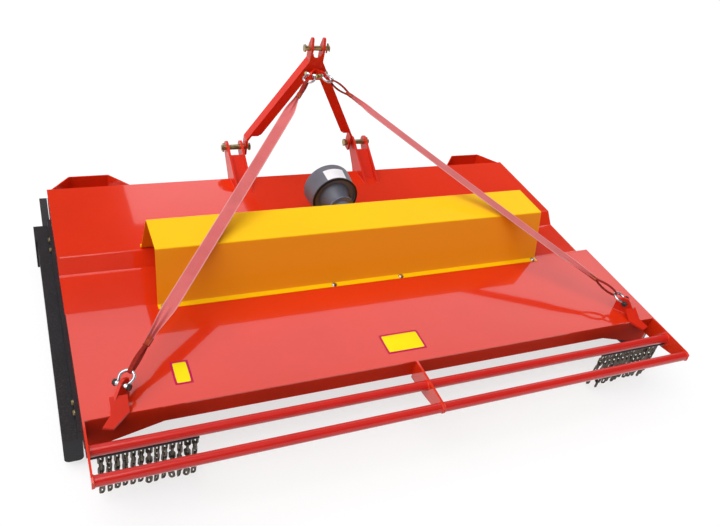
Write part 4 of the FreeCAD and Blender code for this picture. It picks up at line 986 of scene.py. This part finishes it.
class MOWER_OT_fasteners(bpy.types.Operator):
    """Set the hexagon bolts, the dark shackle bolts and the wire clips of the pins."""
    bl_idname = "mower.fasteners"
    bl_label = "Fasteners"

    COVER_X = (-0.962, -0.176, 0.176, 0.962)    # along the cover's lips
    LIP = 0.012             # from a lip's edge to its bolts
    LIP_TOP = 0.003         # of the lip above the deck
    SHACKLE_FACE = 0.0248   # from a shackle's middle to the faces under head and nut
    SHACKLE_HEX = 0.022     # width across the flats of head and nut, and then their height
    SHACKLE_HEAD = 0.012
    WIRE = 0.0014           # radius of a clip ring's wire

    def execute(self, context):
        size = context.scene.mower_fasteners
        bolt = hex_bolt(size.hexagon, size.head)
        big = hex_bolt(self.SHACKLE_HEX, self.SHACKLE_HEAD, washer=1.12)
        low, top = self.shackle_places()
        zinc, yellow, dark = (("bright_zinc", "bright_steel"), ("yellow_zinc", "zinc_yellow"),
                              ("dark_bolt", "chain_steel"))
        for name, shape, places, look, body, stands_for in (
                ("cover_bolts", bolt, self.cover_places(), zinc, "frame", None),
                ("skid_heads", bolt, self.skid_places(), yellow, "frame", "skid_bolts"),
                ("housing_bolts", bolt, self.housing_places(), zinc, "frame", None),
                ("gearbox_bolts", bolt, self.gearbox_places(), zinc, "frame", None),
                ("shackle_bolts_low", big, low, dark, "frame", None),
                ("shackle_bolts_top", big, top, yellow, "mast", None)):
            points, quads = placed(*shape, np.array(places))
            obj = make_object(name, points, quads, finish_of(look[0]), look[1], sharp=CRISP,
                              merge=True)
            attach(obj, body)
            if stands_for:
                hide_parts(stands_for)
        self.clips()
        return {"FINISHED"}

    def cover_places(self):
        """Four bolts on each lip of the cover, two near its ends and two about its middle."""
        low, high = node_box("drive_cover")
        return [frame_at((x, y, DECK_TOP + self.LIP_TOP), UP) for x in self.COVER_X
                for y in (low[1] + self.LIP, high[1] - self.LIP)]

    @staticmethod
    def skid_places():
        """The four bolts of each skid, on the upstand against the side plate."""
        radius, second, third = 0.009, 0.060, 0.087
        low, high = node_box("skid_bolts")
        z = middle_of("skid_bolts")[2]
        row = (low[1] + radius, low[1] + second, high[1] - third, high[1] - radius)
        return [frame_at((side * (high[0] - radius), y, z), (side, 0.0, 0.0))
                for side in (1.0, -1.0) for y in row]

    @staticmethod
    def housing_places():
        """Eight bolts round each spindle housing, under the deck, on a circle."""
        radius, down = 0.086, 0.012
        made = []
        for name in ("spindle_housing_left", "spindle_housing_right"):
            x, y, _ = middle_of(name)
            z = node_box(name)[1][2] - down
            for a in (np.arange(8) + 0.5) * math.pi / 4.0:
                spot = (x + radius * math.cos(a), y + radius * math.sin(a), z)
                made.append(frame_at(spot, (0.0, 0.0, -1.0)))
        return made

    @staticmethod
    def gearbox_places():
        """Bolts on the sole plates and on the lids of the side gearboxes."""
        inset, sole, lid = 0.0105, 0.014, 0.02
        sole_end, lid_end, lid_low, lid_top = 0.02, 0.025, 0.01, 0.03
        made = []
        for name in ("gearbox_side_left", "gearbox_side_right"):
            low, high = node_box(name)
            side = 1.0 if low[0] + high[0] > 0.0 else -1.0
            outer = high[0] if side > 0 else low[0]
            for y in (low[1] + sole_end, middle_of(name)[1], high[1] - sole_end):
                made.append(frame_at((outer - side * inset, y, low[2] + sole), UP))
            for y in (low[1] + lid_end, high[1] - lid_end):
                for z in (DECK_TOP + lid_low, high[2] - lid_top):
                    made.append(frame_at((outer - side * lid, y, z), (side, 0.0, 0.0)))
        return made

    def shackle_places(self):
        """Head and nut at both ends of each shackle's pin, low on the frame, high on the mast."""
        low_set, top_set = [], []
        for side in (1.0, -1.0):
            low, top, _, level, _ = strap_axes(side)
            for end in (1.0, -1.0):
                low_set.append(frame_at(low + level * end * self.SHACKLE_FACE, level * end))
                top_set.append(frame_at(top + level * end * self.SHACKLE_FACE, level * end))
        return low_set, top_set

    def clip_ring(self, x, pin, lean):
        """Wire ring through a pin: an upright oval, (sin a, cos a), that leans out by 1 - cos a."""
        _, y, z = middle_of(pin)
        wide, tall, rise = 0.019, 0.022, 0.004
        a = circle(28)
        ring = np.stack([x + lean * (1.0 - np.cos(a)), y + wide * np.sin(a),
                         z + rise + tall * np.cos(a)], -1)
        return tube(ring, self.WIRE, 6, closed=True)

    def clips(self):
        """Clip rings of the two hitch pins, which ride the frame, and of the top pin."""
        inset, out_low, out_top = 0.012, 0.0042, 0.006
        right, left = node_box("hitch_pin_right")[1][0], node_box("hitch_pin_left")[0][0]
        top = node_box("top_pin")[1][0]
        low_rings = stack([
            self.clip_ring(left + inset, "hitch_pin_left", -out_low),
            self.clip_ring(right - inset, "hitch_pin_right", out_low)])
        for name, rings, body in (
                ("hitch_clip_rings", low_rings, "frame"),
                ("top_clip_ring", self.clip_ring(top - inset, "top_pin", out_top), "mast")):
            obj = make_object(name, *rings, finish_of("yellow_zinc"), "zinc_yellow")
            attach(obj, body)


class MOWER_OT_welds(bpy.types.Operator):
    """Lay the weld beads where plates, tubes and brackets join the deck."""
    bl_idname = "mower.welds"
    bl_label = "Welds"

    PLATE = 0.012           # thickness of a hitch plate
    SHORT = 0.004           # a bead along the deck stops this far from its ends
    EDGE = 0.006            # and this far from the deck's top and an upright's foot

    def execute(self, context):
        radius = context.scene.mower_fasteners.weld
        parts = []
        for name in ("hitch_bracket_left", "hitch_bracket_right"):
            low, high = node_box(name)
            for x in (low[0], low[0] + self.PLATE, high[0] - self.PLATE, high[0]):
                parts.append(weld_line((x, low[1] + self.SHORT, DECK_TOP),
                                       (x, FRONT_EDGE - self.SHORT, DECK_TOP), radius))
                parts.append(weld_line((x, FRONT_EDGE, DECK_TOP - self.EDGE),
                                       (x, FRONT_EDGE, low[2] + self.EDGE), radius))
        arm, inset = 0.005, 0.0008          # half the centre arm, and how far the ends sink
        for name in ("guard_tube_inner", "guard_tube_outer"):
            low, high = node_box(name)
            _, y, z = middle_of(name)
            for x in (high[0] - inset, low[0] + inset, arm, -arm):
                parts.append(weld_ring((x, y, z), (high[2] - low[2]) / 2.0, radius * 0.9,
                                       (1.0, 0.0, 0.0)))
        behind, before, half = 0.058, 0.038, 0.006      # a strap bracket's foot about its hole
        for side in (1.0, -1.0):
            low, _, way, level, _ = strap_axes(side)
            flat = unit(np.array([way[0], way[1], 0.0]))
            for face in (half, -half):
                start = low - flat * behind + level * face
                stop = low + flat * before + level * face
                start[2] = stop[2] = DECK_TOP
                parts.append(weld_line(start, stop, radius))
        for name in ("front_hood_left", "front_hood_right"):
            low, high = node_box(name)
            parts.append(weld_line((low[0] + self.SHORT, FRONT_EDGE, low[2] + self.EDGE),
                                   (high[0] - self.SHORT, FRONT_EDGE, low[2] + self.EDGE),
                                   radius))
        obj = make_object("frame_welds", *stack(parts), finish_of("red_weld"), "red_paint",
                          sharp=ROUND, merge=True)
        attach(obj, "frame")
        return {"FINISHED"}


class MOWER_OT_plates(bpy.types.Operator):
    """Stick the blank plates on the rear panel and on the input guard."""
    bl_idname = "mower.plates"
    bl_label = "Blank plates"

    # Name, place on the rear panel, and half of each side of its yellow face.
    SPOTS = (("plate_small", -0.968, REAR_EDGE + 0.154, 0.027, 0.053),
             ("plate_wide", -0.012, REAR_EDGE + 0.121, 0.086, 0.049))
    # Each plate's two sheets: name, how far it grows past the face, thickness and finish.
    SHEETS = (("border", 0.0090, 0.0006, "plate_border"), ("face", 0.0, 0.0010, "plate_yellow"))
    CORNER = 0.006

    def execute(self, context):
        for name, x, y, half_x, half_y in self.SPOTS:
            for part, grow, thick, finish in self.SHEETS:
                points, quads = rounded_sheet(half_x + grow, half_y + grow, self.CORNER, thick)
                points = points + np.array([x, y, DECK_TOP])
                obj = make_object(name + "_" + part, points, quads, finish_of(finish),
                                  "yellow_paint", sharp=CRISP, merge=True)
                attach(obj, "frame")
        obj = make_object("plate_bell", *self.bell_plate(), finish_of("plate_white"),
                          "bright_steel", sharp=CRISP)
        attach(obj, "frame")
        return {"FINISHED"}

    @staticmethod
    def bell_plate():
        """Blank label on the bell: a patch of its cone, y along and the angle across.

        x = r(y) sin a, z = axis + r(y) cos a, with r(y) the bell's radius plus the sheet.
        """
        taper, sunk, proud = 0.013, -0.0004, 0.0009
        near, far, left, right = 0.014, 0.086, -0.46, 0.42
        low, high = node_box("input_guard")
        axis_z = middle_of("input_guard")[2]
        front_r = (high[2] - low[2]) / 2.0
        rear_r = front_r - taper
        y0, y1 = low[1], high[1]
        y = np.linspace(y0 + near, y0 + far, 8)
        a = np.linspace(left, right, 20)
        r = rear_r + (front_r - rear_r) * (y - y0) / (y1 - y0)
        sheets = []
        for lift in (proud, sunk):
            at = (r + lift)[:, None]
            sheets.append(np.stack([at * np.sin(a)[None],
                                    np.broadcast_to(y[:, None], (len(y), len(a))),
                                    axis_z + at * np.cos(a)[None]], -1))
        points, quads = strip(*sheets)
        return points, outward(points - points.mean(0), quads)


class MOWER_OT_stub(bpy.types.Operator):
    """Cut the six splines and the locking groove of the input stub."""
    bl_idname = "mower.stub"
    bl_label = "Splined stub"

    LENGTH = 0.077          # of the splined end
    TIP = 0.01745           # radius of the splines' tips
    ROOT = 0.0149           # radius between them, and of the locking groove

    def execute(self, context):
        low, high = node_box("input_stub")
        journal = (high[2] - low[2]) / 2.0
        points, quads = self.splined(low[1], high[1], middle_of("input_stub")[2], journal)
        obj = make_object("splined_stub", points, quads, finish_of("bright_zinc"),
                          "bright_steel", sharp=CRISP, merge=True)
        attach(obj, "input_shaft")
        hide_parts("input_stub")
        return {"FINISHED"}

    def splined(self, start, stop, axis_z, journal):
        """Shaft along Y whose radius is the tip circle on six teeth and the root between.

        Rows set the radius along Y: journal, spline, groove, spline, chamfer, end.
        """
        columns = 72
        a = circle(columns)
        slope_in, groove_in, groove_out, slope_out, chamfer = 0.040, 0.0385, 0.0315, 0.030, 0.002
        plain_end, spline_start, end_share = 0.006, 0.007, 0.93
        tooth = np.clip(np.cos(6.0 * a) * 3.0 + 0.35, -1.0, 1.0)    # steep flanks, wide tips
        spline = self.ROOT + (self.TIP - self.ROOT) * (tooth + 1.0) / 2.0
        plain = np.ones(columns)
        shoulder = stop - self.LENGTH
        rows = [(start, 0.0 * plain), (start, journal * plain), (shoulder, journal * plain),
                (shoulder, self.TIP * plain), (shoulder + plain_end, self.TIP * plain),
                (shoulder + spline_start, spline), (stop - slope_in, spline),
                (stop - groove_in, self.ROOT * plain), (stop - groove_out, self.ROOT * plain),
                (stop - slope_out, spline), (stop - chamfer, spline),
                (stop, spline * end_share), (stop, 0.0 * plain)]
        y = np.array([row[0] for row in rows])[:, None]
        r = np.stack([row[1] for row in rows])
        points = np.stack([r * np.cos(a)[None], np.broadcast_to(y, r.shape),
                           axis_z + r * np.sin(a)[None]], -1).reshape(-1, 3)
        return points, grid_quads(len(rows), columns, False, True)


class MOWER_OT_cap(bpy.types.Operator):
    """Turn the bright bearing cap on the gearbox neck."""
    bl_idname = "mower.cap"
    bl_label = "Bearing cap"

    BEHIND = 0.0895         # from the input guard's rear to the cap's seat on the neck
    # Half section of the cap: radius, and height from its seat.
    SECTION = ((0.0, -0.0004), (0.060, -0.0004), (0.0645, 0.0016), (0.0664, 0.0040),
               (0.0664, 0.0100), (0.0645, 0.0126), (0.050, 0.0144), (0.0, 0.0144))

    def execute(self, context):
        rear = node_box("input_guard")[0][1]
        place = frame_at((0.0, rear - self.BEHIND, middle_of("input_guard")[2]), AHEAD)
        points, quads = placed(*lathe(self.SECTION, 64), place[None])
        obj = make_object("neck_cap", points, quads, finish_of("machined"), "bright_steel",
                          sharp=CRISP, merge=True)
        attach(obj, "frame")
        return {"FINISHED"}


class MOWER_OT_stage(bpy.types.Operator):
    """Lay the pale floor, hang the soft lights and set the camera."""
    bl_idname = "mower.stage"
    bl_label = "Stage"

    # The key light's place, strength, spread and colour.
    KEY = ((-0.55, -0.1, 1.0), 2.9, math.radians(70.0), (1.0, 0.985, 0.965))
    # Soft cards that face straight down: name, place, width, depth, power and colour.
    CARDS = (("front_card", (1.45, 1.72, 2.5), 5.7, 1.22, 28.0, (0.88, 0.93, 1.0)),
             ("hitch_card", (0.06, 4.05, 2.5), 1.15, 1.1, 5.6, (0.95, 0.93, 1.0)))
    FRAME_WIDTH = 36.0      # of the camera, in millimetres
    SIGHT = 200.0           # how far the camera sees
    FLOOR_HALF = 40.0
    FLOOR_DROP = 0.0006     # below the skids' soles
    FLOOR_MOTTLE = 0.99     # its darker spots, as a share of its colour
    SKY = (0.95, 0.93, 1.0)
    DIM, BRIGHT = 0.06, 0.35    # strength of the dome above the wall, and overhead

    def execute(self, context):
        size = context.scene.mower_stage
        self.floor(size)
        self.world()
        self.sun("key_light", *self.KEY)
        for values in self.CARDS:
            self.card(*values)
        camera = bpy.data.cameras.new("camera")
        camera.sensor_width = self.FRAME_WIDTH
        camera.lens = size.lens
        camera.clip_end = self.SIGHT
        holder = bpy.data.objects.new("camera", camera)
        holder.location = size.camera
        turn = (Euler((0.0, 0.0, -size.azimuth)).to_matrix()
                @ Euler((math.pi / 2.0 + size.elevation, 0.0, 0.0)).to_matrix()
                @ Euler((0.0, 0.0, size.roll)).to_matrix())
        holder.rotation_euler = turn.to_euler()
        context.scene.collection.objects.link(holder)
        context.scene.camera = holder
        context.scene.view_settings.view_transform = "Standard"
        return {"FINISHED"}

    def floor(self, size):
        """Flat floor: one square grid at the height on which the skids stand."""
        x = np.linspace(-self.FLOOR_HALF, self.FLOOR_HALF, 9)
        gx, gy = np.meshgrid(x, x, indexing="ij")
        points = np.stack([gx, gy, np.full(gx.shape, -self.FLOOR_DROP)], -1).reshape(-1, 3)
        quads = grid_quads(9, 9, False, False)[:, ::-1]
        material, tree, shader = new_material("floor_matt")
        place = new_node(tree, "TexCoord").outputs["Object"]
        mottle = remap(tree, noise(tree, place, 0.6, 2.0, 0.5), 0.3, 0.7, 0.0, 1.0)
        pale = rgba(size.floor)
        seen = blend_colour(tree, mottle, pale, rgba(shade(pale, self.FLOOR_MOTTLE)))
        ray = new_node(tree, "LightPath").outputs
        direct = maths(tree, "ADD", ray["Is Camera Ray"], ray["Is Glossy Ray"])
        direct = maths(tree, "ADD", direct, ray["Is Transmission Ray"], clamp=True)
        dull = rgba(shade(pale, size.bounce))
        lit = blend_colour(tree, size.glow, seen, (0.0, 0.0, 0.0, 1.0))
        set_inputs(tree, shader, Base_Color=blend_colour(tree, direct, dull, lit),
                   Emission_Color=seen,
                   Emission_Strength=maths(tree, "MULTIPLY", direct, size.glow),
                   Roughness=0.9, Specular_IOR_Level=0.1)
        mesh = bpy.data.meshes.new("floor")
        mesh.from_pydata(points.tolist(), [], quads.tolist())
        mesh.materials.append(material)
        obj = bpy.data.objects.new("floor", mesh)
        bpy.context.scene.collection.objects.link(obj)

    def world(self):
        """Dim dome over a white horizon: brightness set by the height of the direction.

        The wall fades out from 0.22 to 0.42, and the ceiling grows from 0.62 to 0.95.
        """
        world = bpy.data.worlds.new("studio")
        world.use_nodes = True
        tree = world.node_tree
        height = parts_of(tree, new_node(tree, "TexCoord").outputs["Generated"])["Z"]
        wall = remap(tree, height, 0.22, 0.42, 1.0, 0.0)
        ceiling = remap(tree, height, 0.62, 0.95, self.DIM, self.BRIGHT)
        set_inputs(tree, tree.nodes["Background"], Color=rgba(self.SKY),
                   Strength=maths(tree, "MAXIMUM", wall, ceiling))
        bpy.context.scene.world = world

    @staticmethod
    def hang(name, lamp, place, back, power, colour):
        """Puts a lamp in the scene at its place, shining away from its back."""
        lamp.energy = power
        lamp.color = colour
        obj = bpy.data.objects.new(name, lamp)
        obj.matrix_world = Matrix(frame_at(place, back, up=AHEAD).tolist())
        bpy.context.scene.collection.objects.link(obj)

    def sun(self, name, place, strength, spread, colour):
        """Even light from one direction, soft because its disc is wide."""
        lamp = bpy.data.lights.new(name, "SUN")
        lamp.angle = spread
        self.hang(name, lamp, place, place, strength, colour)

    def card(self, name, place, wide, deep, power, colour):
        """Rectangular soft light that looks straight down."""
        lamp = bpy.data.lights.new(name, "AREA")
        lamp.shape = "RECTANGLE"
        lamp.size, lamp.size_y = wide, deep
        self.hang(name, lamp, place, UP, power, colour)


class MOWER_PT_panel(bpy.types.Panel):
    """Steps that dress the mower, in order."""
    bl_label = "Mower"
    bl_idname = "MOWER_PT_panel"
    bl_space_type = "VIEW_3D"
    bl_region_type = "UI"
    bl_category = "Mower"

    def draw(self, context):
        for operator in OPERATORS:
            self.layout.operator(operator.bl_idname)
        for group, _ in SIZES:
            box = self.layout.box()
            values = getattr(context.scene, group)
            for name in values.bl_rna.properties.keys():
                if name not in ("rna_type", "name"):
                    box.prop(values, name)


OPERATORS = (MOWER_OT_finishes, MOWER_OT_curtains, MOWER_OT_straps, MOWER_OT_fasteners,
             MOWER_OT_welds, MOWER_OT_plates, MOWER_OT_stub, MOWER_OT_cap, MOWER_OT_stage)
SIZES = (("mower_paint", MowerPaint), ("mower_curtains", MowerCurtains),
         ("mower_straps", MowerStraps), ("mower_fasteners", MowerFasteners),
         ("mower_stage", MowerStage))


def register():
    for name, group in SIZES:
        bpy.utils.register_class(group)
        setattr(bpy.types.Scene, name, PointerProperty(type=group))
    for operator in OPERATORS:
        bpy.utils.register_class(operator)
    bpy.utils.register_class(MOWER_PT_panel)


def unregister():
    bpy.utils.unregister_class(MOWER_PT_panel)
    for operator in reversed(OPERATORS):
        bpy.utils.unregister_class(operator)
    for name, group in reversed(SIZES):
        delattr(bpy.types.Scene, name)
        bpy.utils.unregister_class(group)


def main():
    register()
    bpy.ops.mower.finishes()
    bpy.ops.mower.curtains()
    bpy.ops.mower.straps()
    bpy.ops.mower.fasteners()
    bpy.ops.mower.welds()
    bpy.ops.mower.plates()
    bpy.ops.mower.stub()
    bpy.ops.mower.cap()
    bpy.ops.mower.stage()


if __name__ == "__main__":
    main()
